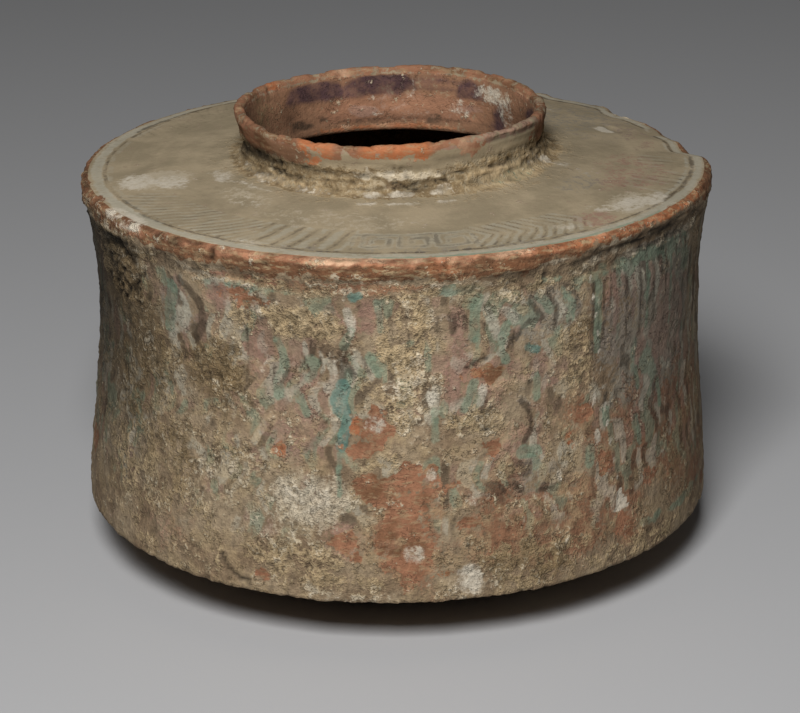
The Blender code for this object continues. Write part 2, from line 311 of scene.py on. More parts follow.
def outer_swell():
    """How far crust and an uneven hand move the outside of the wall."""
    above_heel = smooth_step(HEEL_HEIGHT - WALL_THICKNESS, HEEL_HEIGHT + WALL_THICKNESS, HEIGHT)
    below_lip = 1.0 - smooth_step(LIP_FOOT, SHOULDER_HEIGHT, HEIGHT)
    soft_lumps = lumps(COARSE_LUMPS_PER_MM) + 0.5 * lumps(FINE_LUMPS_PER_MM)
    under_lip = SHOULDER_HEIGHT - 1.5 * LIP_BAND_HEIGHT
    groove = bell(HEIGHT, under_lip, 1.4 * LIP_BAND_HEIGHT) * near(UNDERCUT_ANGLE, UNDERCUT_HALF_WIDTH)
    fill = bell(HEIGHT, under_lip, 3 * LIP_BAND_HEIGHT) * near(LIP_FILL_ANGLE, LIP_FILL_HALF_WIDTH)
    return CRUST_SWELL * soft_lumps * above_heel * below_lip - UNDERCUT_DEPTH * groove + LIP_FILL * fill


def hand_made():
    """All points of the uneven vessel, centred as the solid is."""
    outside = np.isin(ZONE, ("underside", "wall", "lip", "shoulder", "collar"))
    in_body = smooth_step(UNEVEN_FROM, UNEVEN_FULL, RADIUS)
    in_collar = 1.0 - smooth_step(COLLAR_FOOT_RADIUS - COLLAR_EASE, COLLAR_FOOT_RADIUS + COLLAR_EASE, RADIUS)
    in_collar *= smooth_step(SHOULDER_HEIGHT, RIM_HEIGHT, HEIGHT)
    moved = RADIUS + outside * (wear_edge() + outer_swell() * in_body)
    wobble = sum(share * np.sin(waves * np.radians(ANGLE)) for share, waves in OUT_OF_ROUND_WAVES)
    moved += OUT_OF_ROUND * wobble * smooth_step(0, HEEL_HEIGHT, HEIGHT) * RADIUS / SHOULDER_RADIUS
    above = bell(HEIGHT, WAIST_HEIGHT + WALL_THICKNESS, SWAY_HALF_HEIGHT)
    below = bell(HEIGHT, HEEL_HEIGHT + WALL_THICKNESS, SWAY_HALF_HEIGHT / 2)
    shift = SWAY * (above - SWAY_BACK * below) * in_body + COLLAR_LEAN * in_collar
    near_heel = bell(HEIGHT, HEEL_HEIGHT, 0.8 * HEEL_HEIGHT) * smooth_step(UNEVEN_FROM, HEEL_RADIUS, RADIUS)
    rubbed = near(HEEL_WEAR_ANGLE, HEEL_WEAR_HALF_WIDTH)
    rim_rise = RIM_WAVE * np.sin(3 * np.radians(ANGLE) + RIM_WAVE_START) * in_collar
    lift = HEEL_WEAR * near_heel * rubbed - rim_rise
    across = moved * np.cos(np.radians(ANGLE)) + shift
    away = moved * np.sin(np.radians(ANGLE))
    points = np.stack([across, away, HEIGHT + lift], axis=2)
    middle = (points.min(axis=(0, 1)) + points.max(axis=(0, 1))) / 2
    return points - np.array([middle[0], middle[1], 0.0])


def outward_normals(points):
    """The direction out of the clay at each point of the grid."""
    along_column = np.gradient(points, axis=0)
    along_row = (np.roll(points, -1, axis=1) - np.roll(points, 1, axis=1)) / 2
    normal = np.cross(along_row, along_column)
    return normal / np.maximum(np.linalg.norm(normal, axis=2, keepdims=True), 1e-9)


bare_vessel = hand_made()
NORMALS = outward_normals(bare_vessel)
print("bare vessel, mm:", np.round(np.ptp(bare_vessel.reshape(-1, 3), axis=0), 1))

# %% [markdown]
# ## How the paint is laid
# A vessel like this was painted in wavy upright strands of grey-green, dark brown, mauve and cream
# over a reddish ground, and most of that has worn off. Each kind of paint is a field on the points:
# the depth inside a stroke in mm, positive inside and negative outside. A field like that keeps a
# crisp edge between points, and the material can fray it. Crust, lime and stains are fields from 0
# to 1, which the material breaks up into grains.

# %% Empty fields, and the noise that makes every edge ragged
FAR_OUT = -5.0
STROKES = ("clay", "teal", "vivid", "dark", "pale", "mauve", "purple")
OLD_STRANDS = ("old_dark", "old_pale", "old_teal", "old_mauve")
GROUNDS = ("cream", "olive", "rose", "ash", "wash")
SHARES = OLD_STRANDS + GROUNDS + ("crust", "lime", "slip", "blush", "ember", "faded", "film", "painted_shade")

paint = {name: np.full(ANGLE.shape, FAR_OUT) for name in STROKES}
share = {name: np.zeros(ANGLE.shape) for name in SHARES}
# Tone makes points lighter or darker: partly the vessel's own colour, partly painted light and shade.
tone_and_painted_light = np.zeros(ANGLE.shape)

coarse_rag = cloud(7, 3, 11)
fine_rag = cloud(2.4, 2, 37)
RAGGED = 1.5 * coarse_rag + 0.7 * fine_rag
WANDER_ACROSS = 1.9 * cloud(7, 2, 203)
WANDER_UP = 1.6 * cloud(6, 2, 217)
FLAKE_HOLES = cloud(4.6, 3, 231)
print("ragged edge, mm:", round(float(RAGGED.min()), 2), "to", round(float(RAGGED.max()), 2))


# %% Changing a field on part of the surface
def put(name, where, value):
    """Give one field this value on part of the surface."""
    fields = paint if name in paint else share
    fields[name] = np.where(where, value, fields[name])


def lay(name, where, value):
    """Raise one field to this value on part of the surface, where it is lower."""
    fields = paint if name in paint else share
    put(name, where, np.maximum(fields[name], value))


EVERYWHERE = True


# %% Strokes and patches
def oval(zone, angle, place, half_width, half_height, wander=2.2):
    """How deep each point lies inside an oval, in mm; negative outside it."""
    least = min(half_width, half_height)
    wander = min(wander, 0.5 * least)
    up = PLACE - place + wander * WANDER_UP
    across = turn_between(ANGLE, angle) * MM_PER_DEGREE + wander * WANDER_ACROSS
    depth = (1 - np.hypot(across / half_width, up / half_height)) * least
    return np.where(ZONE == zone, depth, FAR_OUT)


def soft_oval(zone, angle, place, half_width, half_height):
    """1 in the middle of an oval, easing to 0 a little outside it."""
    across = turn_between(ANGLE, angle) * MM_PER_DEGREE / half_width
    return (ZONE == zone) * smooth_step(1.25, 0.55, np.hypot(across, (PLACE - place) / half_height))


def add_patches(zone, table, ragged=1):
    """Add ragged ovals of paint or bare clay. Bare clay keeps islands of its skin."""
    for kind, ovals in table.items():
        islands = 2 * smooth_step(0.16, 0.46, FLAKE_HOLES) if kind == "clay" else 0
        for where in ovals:
            lay(kind, EVERYWHERE, oval(zone, *where) + ragged * RAGGED - islands)


def heap(zone, ovals):
    """The sum of soft ovals, each at its own strength."""
    return sum(strength * soft_oval(zone, *where) for *where, strength in ovals)


def lay_ovals(zone, table):
    """Raise each share to the strength of its soft ovals."""
    for kind, ovals in table.items():
        for *where, strength in ovals:
            lay(kind, ZONE == zone, strength * soft_oval(zone, *where))


FAR_FROM_LINE = 30.0


def away_from_line(*line):
    """The distance in mm from a line on the wall. It is given as angle and height by turns."""
    points = list(zip(line[::2], line[1::2]))
    nearest = np.full(ANGLE.shape, FAR_FROM_LINE)
    for (a0, h0), (a1, h1) in zip(points, points[1:]):
        run = turn_between(ANGLE, a0) * MM_PER_DEGREE + 0.3 * WANDER_ACROSS
        rise = HEIGHT - h0 + 0.3 * WANDER_UP
        length_run = (a1 - a0) * MM_PER_DEGREE
        length_rise = h1 - h0
        along = (run * length_run + rise * length_rise) / (length_run ** 2 + length_rise ** 2)
        along = np.clip(along, 0, 1)
        nearest = np.minimum(nearest, np.hypot(run - along * length_run, rise - along * length_rise))
    return np.where(np.isin(ZONE, ("wall", "lip")), nearest, FAR_FROM_LINE)


# %% [markdown]
# ## The strands on the wall
# The strands that stand out on the shown side are placed one by one, as lines with a width. Between
# them, and on the sides that a viewer seldom sees, loops lay fainter strands in the same rhythm,
# broken into pieces as wear would leave them.

# %% The strands that stand out
# For each kind: the width, then the angle and the height of each point of the line
CLEAR_STRANDS = {
    "dark": (
        (2.9, 228.6, 100.4, 231, 97.8, 232.8, 94.2, 233, 89.2, 231.4, 84.6), (1, 242.4, 90, 242, 75),
        (0.8, 250.3, 80.4, 249.8, 78.6, 249.6, 77, 248.9, 76), (0.9, 247.4, 80, 247.1, 77),
        (1.7, 254.8, 88, 254.5, 85.2), (0.9, 252.9, 84.8, 253.5, 82.4, 254.1, 80),
        (0.8, 255.8, 84, 256.3, 81),
        (1.9, 256.5, 86.6, 257.6, 85.2, 258.4, 83.7, 259.3, 81.8, 259.8, 80, 259.6, 77.6),
        (2.1, 260.8, 87, 260, 85.7, 259.9, 83.6, 260.7, 82, 261.7, 80),
        (0.9, 263.6, 85, 263.9, 82, 264.5, 80), (0.9, 260.7, 70.8, 261.4, 67.8, 261.3, 66.4),
        (1.3, 261.3, 63, 260.6, 60.2), (0.9, 271.5, 98, 271.3, 89), (0.8, 268.6, 98, 268.8, 90),
        (1, 276.4, 96, 276.4, 92), (2, 279.1, 96, 279.1, 91.6), (1.5, 281.2, 95.6, 281.4, 91.8),
        (1.2, 284.4, 93.6, 285.4, 91.6), (1.2, 290, 90, 290.5, 87.4),
        (1.3, 290.8, 87.9, 292, 90.8, 293.5, 91.9, 295.8, 91.9),
        (1.9, 293.7, 98.8, 294.3, 96.1, 295.1, 94, 295.8, 92.4),
        (1.3, 297, 99.2, 298.5, 95.4, 298.9, 92.6, 298.2, 88.8), (1, 296.6, 100.3, 302.2, 100.2),
        (1.5, 293.3, 75, 292.8, 71.6), (1.6, 291.6, 69.8, 293, 67.6, 293.9, 64.8, 293.9, 61, 292.8, 58.2),
        (1.2, 287.9, 46.6, 288.7, 44.6), (1.5, 290.5, 47, 291.7, 44.2), (1, 295, 43.6, 298.2, 43.8),
        (1.1, 306.5, 99, 306.6, 80), (1, 309.3, 99, 309.2, 82),
    ),
    "pale": (
        (2.4, 228.4, 96, 229.6, 91.5, 229, 88, 227.4, 85.4, 225, 83.5), (1.5, 253.2, 88, 253.5, 84.8),
        (2.3, 257.2, 83.2, 258.1, 81.2, 258.4, 79, 257.9, 76.8, 256.9, 75),
        (1.1, 256, 85.4, 256.6, 82.8, 256.2, 79.6), (0.7, 259.5, 83.9, 260.1, 81.2, 260.8, 79.5),
        (1.4, 262, 85, 262.4, 82, 261.9, 79.4), (0.8, 261, 66.2, 261.1, 63.4, 260.6, 61.2),
        (2.5, 261.1, 98, 261.5, 95, 261.8, 92.8), (3, 285.4, 96.6, 286.6, 92.6, 287.4, 89.4),
        (2.8, 289, 96, 290.4, 93.2), (2, 298.9, 97, 299.8, 94, 299.2, 91.6),
        (1, 294.8, 64, 294.7, 60.4, 293.5, 57.5), (2.4, 284.6, 74.4, 284.2, 70.6),
        (2.6, 275.5, 73.6, 275.8, 72.2), (1, 308.6, 67, 308.7, 64), (1.2, 308.4, 56.4, 308.8, 53.6),
    ),
    "teal": (
        (4.6, 226.2, 97.5, 225, 91, 224.6, 86),
        (2.7, 248.2, 88, 249.3, 85, 249.6, 81.8, 249, 79, 248.2, 76.5, 248.2, 72.2),
        (3.2, 254.2, 83.2, 255.2, 82), (2.6, 254.9, 79.6, 253.8, 77.6),
        (2.9, 264.6, 85, 265.4, 82.6, 266.2, 80.5), (2.2, 261, 80.4, 260.8, 78, 260.1, 76),
        (1.5, 259.6, 58, 259.4, 53, 259.6, 46), (2.5, 252, 73, 252.9, 70.6, 253.3, 68),
        (2.5, 261.7, 92.4, 260.9, 90, 260.4, 87.8), (1.6, 266.4, 101, 267, 96, 266.7, 92.5),
        (3.4, 283.9, 100, 283, 95, 283, 89.6), (2.5, 289, 92, 288.2, 88.3, 287.8, 85.4, 288.9, 82.2),
        (2.7, 295.1, 98.8, 296.6, 96.9, 297.4, 94.4), (3, 300.8, 97, 301.9, 94, 301.6, 91),
        (2.4, 294.7, 76, 294.8, 70), (4, 292.4, 55, 295, 54.6), (2.6, 283, 76.6, 282.3, 73.2, 281.2, 69),
        (2.6, 276.2, 69, 276, 61), (2.8, 307.9, 99, 307.8, 80), (2.8, 310.4, 61.4, 310.6, 58),
        (3, 306.4, 51.4, 306, 47.6), (2, 318.6, 70, 319.4, 64), (1.8, 318.6, 56, 319.4, 48),
        (1.8, 325.8, 64, 326.4, 56),
    ),
    "mauve": (
        (4.4, 236.6, 101, 237.2, 96), (3.6, 264.4, 98.5, 264.6, 93), (4.6, 245.6, 92, 245.9, 84),
        (4.2, 251.6, 87, 251.6, 83.2), (3, 280.2, 97, 280.1, 84), (3.8, 279.8, 81, 279.4, 72),
        (3.4, 312.5, 98, 312.5, 84), (3, 319.6, 80, 320, 74),
    ),
    "vivid": (
        (4.6, 259.7, 75.8, 258.9, 72.6, 259.7, 69.4), (2.8, 259.9, 69.6, 260.3, 66, 260.2, 62, 259.9, 59.6),
        (2.4, 293.2, 84.6, 295, 83.4),
    ),
}
for kind, strands in CLEAR_STRANDS.items():
    for width, *line in strands:
        lay(kind, EVERYWHERE, width / 2 - away_from_line(*line) + 0.22 * RAGGED)
print("clear strands:", sum(len(strands) for strands in CLEAR_STRANDS.values()))

CLEAR = smooth_step(-2.2, 0.6, np.maximum.reduce([paint[kind] for kind in CLEAR_STRANDS]))

# %% Old strands all round, side by side
# Where the strands wave, and which way: angle, bend. A bend of 0 leaves them straight.
BACK_WAVE = ((0, 0.8), (18, 0.8), (24, 0), (30, 0))
BACK_BENDS = [(start + step, bend) for start in (12, 48, 84, 120) for step, bend in BACK_WAVE]
BEND_KNOTS = (
    (0, 0.3), *BACK_BENDS, (156, 0.8), (178, 0.6), (200, 0.3), (213, 0.6), (222, 0.9), (237, 0.9), (241, 1),
    (266, 1), (268.5, 0), (279, 0), (281, -0.9), (290, -0.9), (292, 1), (304.5, 1), (308, 0.1), (316, 0.1),
    (320, 0.7), (336, 0.7), (345, 0.3),
)
STRAND_WAVE = 14.5
STRAND_SWAY = 1.7
STRAND_CREST = 79.5
STRANDS_ROUND = 226
STRAND_CELL = 9
CELLS_UP = 16
OLD_CHANCES = (0.22, 0.32, 0.26, 0.2)

chance = np.random.default_rng(7)
knot_angles, knot_bends = zip(*BEND_KNOTS)
bend_here = np.interp(ANGLE, knot_angles, knot_bends, period=360)
old_wave = np.cos(2 * math.pi * (HEIGHT + 0.5 * WANDER_UP - STRAND_CREST) / STRAND_WAVE)
aside = (0.45 * WANDER_ACROSS - bend_here * STRAND_SWAY * old_wave) / MM_PER_DEGREE
strand_run = (ANGLE + aside) * STRANDS_ROUND / 360
old_kinds = chance.choice(len(OLD_STRANDS), size=(STRANDS_ROUND, CELLS_UP), p=OLD_CHANCES)
cell_starts = chance.uniform(0, STRAND_CELL, STRANDS_ROUND)


def along_strand(number, values):
    """The value that a numbered strand has at this height."""
    number = number % STRANDS_ROUND
    step = np.clip((HEIGHT + WANDER_UP + cell_starts[number]) / STRAND_CELL, 0, CELLS_UP - 2)
    cell = np.floor(step).astype(int)
    blend = smooth_step(0.35, 0.65, step - cell)
    return values[number, cell] * (1 - blend) + values[number, cell + 1] * blend


def woven(values):
    """Values of all strands laid side by side, with soft borders."""
    number = np.floor(strand_run - 0.5).astype(int)
    blend = smooth_step(0.32, 0.68, strand_run - 0.5 - number)
    return along_strand(number, values) * (1 - blend) + along_strand(number + 1, values) * blend


still_there = 0.3 + 0.7 * smooth_step(-0.2, 0.22, cloud(11, 3, 133))
painted_height = smooth_step(20, 44, HEIGHT) * smooth_step(104, 100, HEIGHT)
still_there *= on_wall * (0.15 + 0.85 * painted_height)
for number, name in enumerate(OLD_STRANDS):
    share[name] = woven((old_kinds == number).astype(float)) * still_there
print("old strands:", STRANDS_ROUND)


# %% Straight stripes on the right
def straight_stripes(start, end, low, high, step=2.1, width=1.2):
    """Upright stripes on the wall, dark, grey-green and mauve by turns."""
    drawn = HEIGHT + 0.4 * WANDER_UP
    for number, angle in enumerate(np.arange(start, end, step)):
        kind = ("dark", "teal", "dark", "mauve")[number % 4]
        across = np.abs(turn_between(ANGLE, angle) * MM_PER_DEGREE + 0.35 * WANDER_ACROSS)
        ends = np.minimum(drawn - (low + chance.uniform(-5, 5)), high - drawn)
        stripe = np.where(on_wall, np.minimum(width / 2 - across, 0.6 * ends), FAR_OUT)
        lay(kind, EVERYWHERE, stripe + 0.45 * RAGGED)


# start, end, low, high
STRIPED = ((311, 337, 82, 101), (184, 200, 50, 100))
for stretch_of_wall in STRIPED:
    straight_stripes(*stretch_of_wall)
print("striped stretches:", len(STRIPED))

# %% [markdown]
# ## Bands, chips and lime on the wall
# A grey-green line runs round the wall under the lip, in pieces. Where the painted skin has flaked
# off, the red clay shows. Lime has grown in white specks on some of those places, and one chip at the
# lower right is white and deep.

# %% The line under the lip, and the bare clay
# For each kind: angle, height, half width, half height
WALL_PATCHES = {
    "pale": ((240, 102.6, 9, 0.8), (279, 102.8, 5.5, 0.8),),
    "teal": (
        (246, 102.2, 8, 0.6), (280, 103.4, 7.6, 1.6), (296.5, 102.6, 5, 1.3), (306, 101.6, 3, 1.3),
        (320, 101.6, 23, 2.6), (332, 24, 18, 1.2),
    ),
    "vivid": ((262.5, 102.4, 1.6, 1.1),),
    "dark": ((280, 105.2, 7.8, 0.7), (296, 104.4, 4.6, 0.6), (320, 104.8, 22, 0.8),),
    "clay": (
        (243.2, 99.3, 5.4, 1.8), (242.6, 96.6, 3, 1.6), (264.4, 60.4, 4.6, 2.8), (262.1, 64.4, 1.5, 4.6),
        (265.4, 69.7, 5, 0.9), (265.2, 65.4, 4.4, 3.2), (279, 48.2, 3.6, 1.2), (270.2, 47.8, 11, 6.6),
        (265.6, 50.5, 5.4, 2.6), (270.8, 39, 6.2, 8), (271.5, 28.5, 6.2, 8.5), (248.6, 56.6, 1.6, 2.4),
        (284, 78.9, 4.4, 2), (286.6, 78.2, 2.6, 2.6), (286.6, 57.2, 2.6, 2.2), (305.2, 62.4, 3, 2.8),
        (301.8, 55.4, 1.1, 1.6), (314.6, 25.5, 4, 3.6), (276.6, 23, 3.8, 0.6), (264.8, 64.6, 5.2, 6),
        (261.5, 32.5, 3.4, 4), (282, 37, 2.6, 1.6), (309.6, 46.5, 3.2, 3.6), (322, 38, 3, 3),
        (246, 20.5, 2.2, 1.6),
    ),
    "mauve": (
        (258.5, 96.5, 4, 3), (251.6, 77.6, 2.6, 1.6), (286.4, 86.8, 3, 2.4), (250, 62, 9, 7),
        (296, 76, 5, 5), (330, 80, 10, 14),
    ),
}
add_patches("wall", WALL_PATCHES)

BACK_CHIPS = 26
for number in range(BACK_CHIPS):
    middle = (chance.uniform(345, 555) % 360, chance.uniform(20, 100))
    back_chip = (*middle, chance.uniform(1.5, 6), chance.uniform(1.5, 5))
    add_patches("wall", {"clay": (back_chip,)}, ragged=0.8)
print("kinds of patches:", len(WALL_PATCHES), "chips at the back:", BACK_CHIPS)

# %% Lime, crust and wash on the wall
# angle, height, half width, half height, share
WALL_CRUST = (
    (209, 98, 15, 12, 0.85), (250, 93.5, 17, 5.5, 0.85), (236, 79, 10, 9, 0.5), (271.5, 92, 9, 11, 0.6),
    (270, 75, 8, 12, 0.45), (267, 56.5, 7, 4.5, 0.55), (271, 104.5, 12, 3.5, 0.6), (283.5, 65.5, 9, 5, 0.4),
    (304, 78, 6, 12, 0.4), (300, 88.5, 5, 4, 0.5), (293, 100.5, 9, 3, 0.5), (288, 104.8, 20, 2.2, 0.5),
    (292, 24, 16, 8, 0.42), (252, 26, 15, 9, 0.4), (320, 19, 24, 3.5, 0.45), (228, 40, 34, 26, 0.16),
    (254, 44, 13, 8, 0.4), (262, 20, 12, 4, 0.35), (252, 76, 12, 10, -0.25), (296, 93, 12, 6, -0.25),
    (338, 66, 38, 44, -0.3), (322, 101, 26, 6, -0.5), (228, 92, 7, 9, -0.4), (264.6, 65, 7, 8, -0.6),
    (60, 60, 60, 40, 0.1), (130, 40, 50, 30, 0.25), (190, 55, 14, 45, 0.1), (217, 76, 15, 15, 0.3),
    (213, 46, 16, 18, 0.22), (300, 104, 16, 3, 0.25),
)
# The broad areas of ground colour, and the lime
WALL_GROUND = {
    "cream": (
        (254.5, 43.5, 13, 9, 0.85), (249, 36, 12, 6, 0.5), (240, 46, 14, 8, 0.3), (272, 74, 9, 18, 0.22),
        (272, 99, 9, 7, 0.3), (282, 21, 12, 5, 0.3), (205, 60, 3, 5, 0.4), (262, 18, 16, 3, 0.25),
        (120, 44, 20, 12, 0.45),
    ),
    "ash": (
        (324, 84, 26, 34, 0.9), (304, 96, 10, 8, 0.3), (215, 46, 14, 14, 0.45), (326, 86, 18, 18, 0.6),
        (297, 94, 14, 9, 0.55), (294, 48, 10, 7, 0.55), (226, 90, 10, 12, 0.5), (340, 66, 16, 22, 0.4),
        (100, 80, 24, 18, 0.45),
    ),
    "olive": (
        (235, 77, 14, 11, 0.75), (212, 80, 18, 28, 0.75), (292, 23, 15, 7, 0.55), (224, 46, 14, 14, 0.35),
        (303, 87, 6, 5, 0.4), (340, 40, 20, 20, 0.4), (150, 70, 26, 26, 0.5),
    ),
    "rose": (
        (250, 76, 13, 12, 0.38), (262, 96, 8, 6, 0.45), (243.5, 84, 5, 9, 0.65), (279.8, 80, 4.6, 18, 0.6),
        (284, 77, 12, 12, 0.45), (313, 88, 10, 14, 0.55), (299, 72, 10, 12, 0.4), (238, 98.5, 8, 4.5, 0.55),
        (252, 59, 12, 8, 0.36), (261, 33, 8, 7, 0.6), (290, 55, 14, 9, 0.4), (224, 26, 12, 8, 0.3),
        (250, 106, 30, 3, 0.6), (328, 74, 12, 14, 0.3), (60, 70, 26, 20, 0.45),
    ),
    "wash": (
        (300, 33, 34, 13, 0.85), (322, 50, 26, 16, 0.65), (272, 36, 12, 18, 0.6), (338, 44, 24, 24, 0.7),
        (304, 61, 8, 9, 0.6), (286, 48, 12, 8, 0.5), (258, 105, 34, 2.6, 0.8), (316, 25, 10, 7, 0.6),
        (25, 40, 30, 22, 0.55), (90, 30, 22, 10, 0.4),
    ),
    "lime": (
        (265.4, 65.8, 3.8, 3.4, 0.7), (272.6, 29.5, 3.6, 3.4, 0.8), (282.2, 21.5, 4.6, 5.2, 0.95),
        (275.6, 51.2, 1.8, 2.2, 0.85), (275.4, 73.5, 1.8, 3.2, 0.8), (268.5, 76, 3.2, 3.6, 0.6),
        (284.5, 73.5, 1.6, 3, 0.7), (308.2, 54.5, 1.2, 2.8, 0.8), (307.6, 65.2, 1, 3, 0.85),
        (299.4, 46.5, 1.2, 2.6, 0.6), (261.8, 95, 1.8, 5, 0.7), (244.5, 96.5, 2.6, 2.2, 0.65),
        (245, 79.5, 2, 3, 0.55), (242, 102.6, 7, 0.9, 0.45), (283, 44, 3, 3, 0.55), (254, 44.5, 9, 6, 0.5),
        (258.5, 81, 0.8, 6, 0.6), (259, 16.5, 3, 1, 0.6), (312, 90, 1.2, 4, 0.4), (334, 88, 1.2, 2.5, 0.45),
        (20, 50, 6, 9, 0.6), (95, 76, 7, 6, 0.6), (140, 40, 5, 8, 0.65), (62, 30, 5, 5, 0.6),
    ),
}
# The places where the bare clay glows orange
EMBERS = (
    (262, 64.5, 1.8, 4.6, 0.45), (283.4, 78.8, 2.6, 1.2, 0.3), (301.8, 55.4, 1.2, 1.8, 0.9),
    (248.8, 56.8, 1.4, 2.2, 0.45), (276.6, 23, 3.8, 0.9, 0.5),
)
share["ember"] += heap("wall", EMBERS)
crust_field = np.clip(0.2 + heap("wall", WALL_CRUST) + 0.38 * cloud(8, 4, 5), 0, 1)
share["crust"] = on_wall * crust_field * (1 - 0.62 * CLEAR)
lay_ovals("wall", WALL_GROUND)
for number, kind in enumerate(GROUNDS):
    drifting = 0.1 + 0.3 * cloud(12, 4, 80 + 9 * number)
    put(kind, on_wall, np.clip(share[kind] + drifting, 0, 1))
share["film"] = on_wall * np.clip(0.5 + 0.5 * cloud(6, 3, 141) - 0.7 * CLEAR, 0, 1)
share["faded"] = on_wall * (0.1 + 0.35 * smooth_step(0, 0.5, cloud(5, 3, 171)))
share["blush"] = on_wall * (0.34 + 0.4 * cloud(9, 3, 151))
# Painted shade: the wall grows darker towards its far left and far right sides, more so high up and on the
# left.
far_left = smooth_step(46, 0, turn_from(192))
up_the_wall = smooth_step(10, 82, HEIGHT)
far_right = smooth_step(44, 8, turn_from(344))
share["painted_shade"] = on_wall * (far_left * up_the_wall + 0.4 * far_right * (0.4 + 0.6 * up_the_wall))
streaked = smooth_step(250, 215, ANGLE) + (ANGLE > 300)
tone_and_painted_light += on_wall * 0.25 * cloud(2.6, 2, 71, 1, 7) * streaked
print("crust covers", round(float(share["crust"][on_wall].mean()), 2), "of the wall")

# %% [markdown]
# ## The lip
# The edge of the flat top has lost its paint all round, because hands and neighbours rub it first.
# The clay there is bright at the top and brown below, with fine level streaks from the wheel; part of the
# brightness at the top is a painted highlight, strongest at the front.

# %% Bare clay on the lip
LIP_CLAY_FOOT = 107.4
TOP_CLAY_FROM = 88.9
narrower_right = smooth_step(294, 312, ANGLE) * smooth_step(350, 338, ANGLE)
lip_foot_line = LIP_CLAY_FOOT + 3.4 * narrower_right + 3.4 * coarse_rag + 1.8 * fine_rag
lay("clay", on_lip, np.minimum(HEIGHT - lip_foot_line, 3))
lay("clay", on_edge & on_top, RADIUS - (TOP_CLAY_FROM + 0.9 * coarse_rag + 0.5 * fine_rag))
put("clay", on_edge, paint["clay"] - 4 * near(42, 34))
print("bare clay begins at, mm:", round(float(lip_foot_line[on_lip].min()), 1))

# %% Bright and dark stretches of the lip, partly painted highlight and shadow
bright_front = smooth_step(206, 240, ANGLE) * smooth_step(345, 300, ANGLE)
bright_spots = np.clip(0.6 + 0.9 * cloud(9, 3, 181, 1.6, 1), 0, 1.3)
# Painted highlight: the top of the lip is brighter, most at the front.
lip_top_highlight = smooth_step(110.2, 112, HEIGHT + 1.2 * fine_rag + 0.8 * coarse_rag) * (0.1 + 0.9 * bright_front)
lip_top_highlight *= 0.62 + 0.38 * smooth_step(34, 12, turn_from(272))
put("blush", on_edge, 0.05 + 1.2 * lip_top_highlight * bright_spots + 0.22 * coarse_rag)
right_lip = smooth_step(286, 306, ANGLE) * smooth_step(350, 332, ANGLE) * smooth_step(109.4, 111.6, HEIGHT)
embers = smooth_step(0.1, 0.5, cloud(6, 2, 63, 1.8, 0.8)) * bright_front * smooth_step(107.5, 110, HEIGHT)
share["ember"] += (ZONE == "lip") * (0.16 * embers + 0.4 * right_lip)
level_streaks = cloud(3, 3, 23, 4, 0.5)
# Painted shadow under the overhanging lip: a wide band on the right and a thin line at the front. The lip
# also darkens towards its foot.
right_undercut_and_shadow = near(318, 36) * bell(HEIGHT, 108, 2.8)
front_lip_shadow = near(290, 17) * bell(HEIGHT + 1.5 * coarse_rag, 106, 1.1)
lip_tone = 0.8 * fine_rag + 1.1 * level_streaks - 0.3 * smooth_step(109.4, 106.4, HEIGHT)
tone_and_painted_light += on_lip * (lip_tone - 1.7 * right_undercut_and_shadow - 0.8 * front_lip_shadow)
white_edge = np.maximum(soft_oval("lip", 213.5, 112, 12, 2.4), 0.6 * soft_oval("lip", 240, 112.4, 3, 0.8))
lay("lime", on_lip, (1 + 0.9 * fine_rag) * white_edge)
share["blush"] += 0.6 * soft_oval("lip", 218, 110.4, 5, 1.6)
lip_crust = 0.55 * cloud(5, 3, 191) + 0.3 * smooth_step(109, 105.5, HEIGHT) + 0.35 * near(208, 30)
put("crust", on_lip, np.clip(lip_crust, 0, 0.9))
put("cream", on_edge, np.clip(0.26 + 1.1 * cloud(3.4, 3, 261, 4, 0.5), 0, 1))
print("bare clay covers", round(float((paint["clay"][on_lip] > 0).mean()), 2), "of the lip")

# %% [markdown]
# ## The flat top
# The top keeps a smooth tan slip with the faint rings of the wheel. Near its edge run a pale grey
# band and a dark line, and inside them a border of slanting strokes, a key pattern and a
# herringbone, all old and common borders. They are drawn here as distances to repeated lines.

# %% The rings near the edge
share["slip"] = (on_top | on_collar) * 1
wheel_rings = np.interp(RADIUS, np.arange(50, 92, 0.8), chance.uniform(-1, 1, 53))
tone_and_painted_light += on_top * (0.1 * wheel_rings + 0.16 * cloud(14, 3, 3))


# For each kind: the middle's angle, the reach to both sides, radius, half width
RINGS = {
    "pale": (
        (276, 62, 86.9, 1.4), (180, 42, 85.8, 1.5), (178, 38, 82, 0.6), (352, 26, 86.7, 1),
        (350, 22, 83.4, 0.4), (90, 66, 86.6, 0.9),
    ),
    "dark": ((280, 66, 84.6, 0.28), (180, 40, 83.4, 0.26), (352, 26, 84.8, 0.45), (90, 66, 84.7, 0.5),),
    "teal": ((296, 30, 88, 0.6),),
}
for kind, rings in RINGS.items():
    for angle, reach, radius, half_width in rings:
        ends = (reach - turn_from(angle)) * MM_PER_DEGREE
        depth = np.minimum(half_width - np.abs(RADIUS + 0.2 * WANDER_UP - radius), ends)
        lay(kind, on_top, depth + 0.25 * RAGGED)
print("kinds of rings:", len(RINGS))

# %% The border of slanting strokes, key pattern and herringbone
BORDER_MIDDLE = 76.5
BORDER_HALF = 6.8
ARC_LENGTH = turn_between(ANGLE, FRONT) * math.pi / 180 * BORDER_MIDDLE + 0.35 * WANDER_ACROSS
ACROSS_BORDER = RADIUS - BORDER_MIDDLE + 0.25 * WANDER_UP


def repeated_line(run, spacing, half_width):
    """Depth inside the nearest of many parallel lines."""
    return half_width - np.abs((run + spacing / 2) % spacing - spacing / 2)


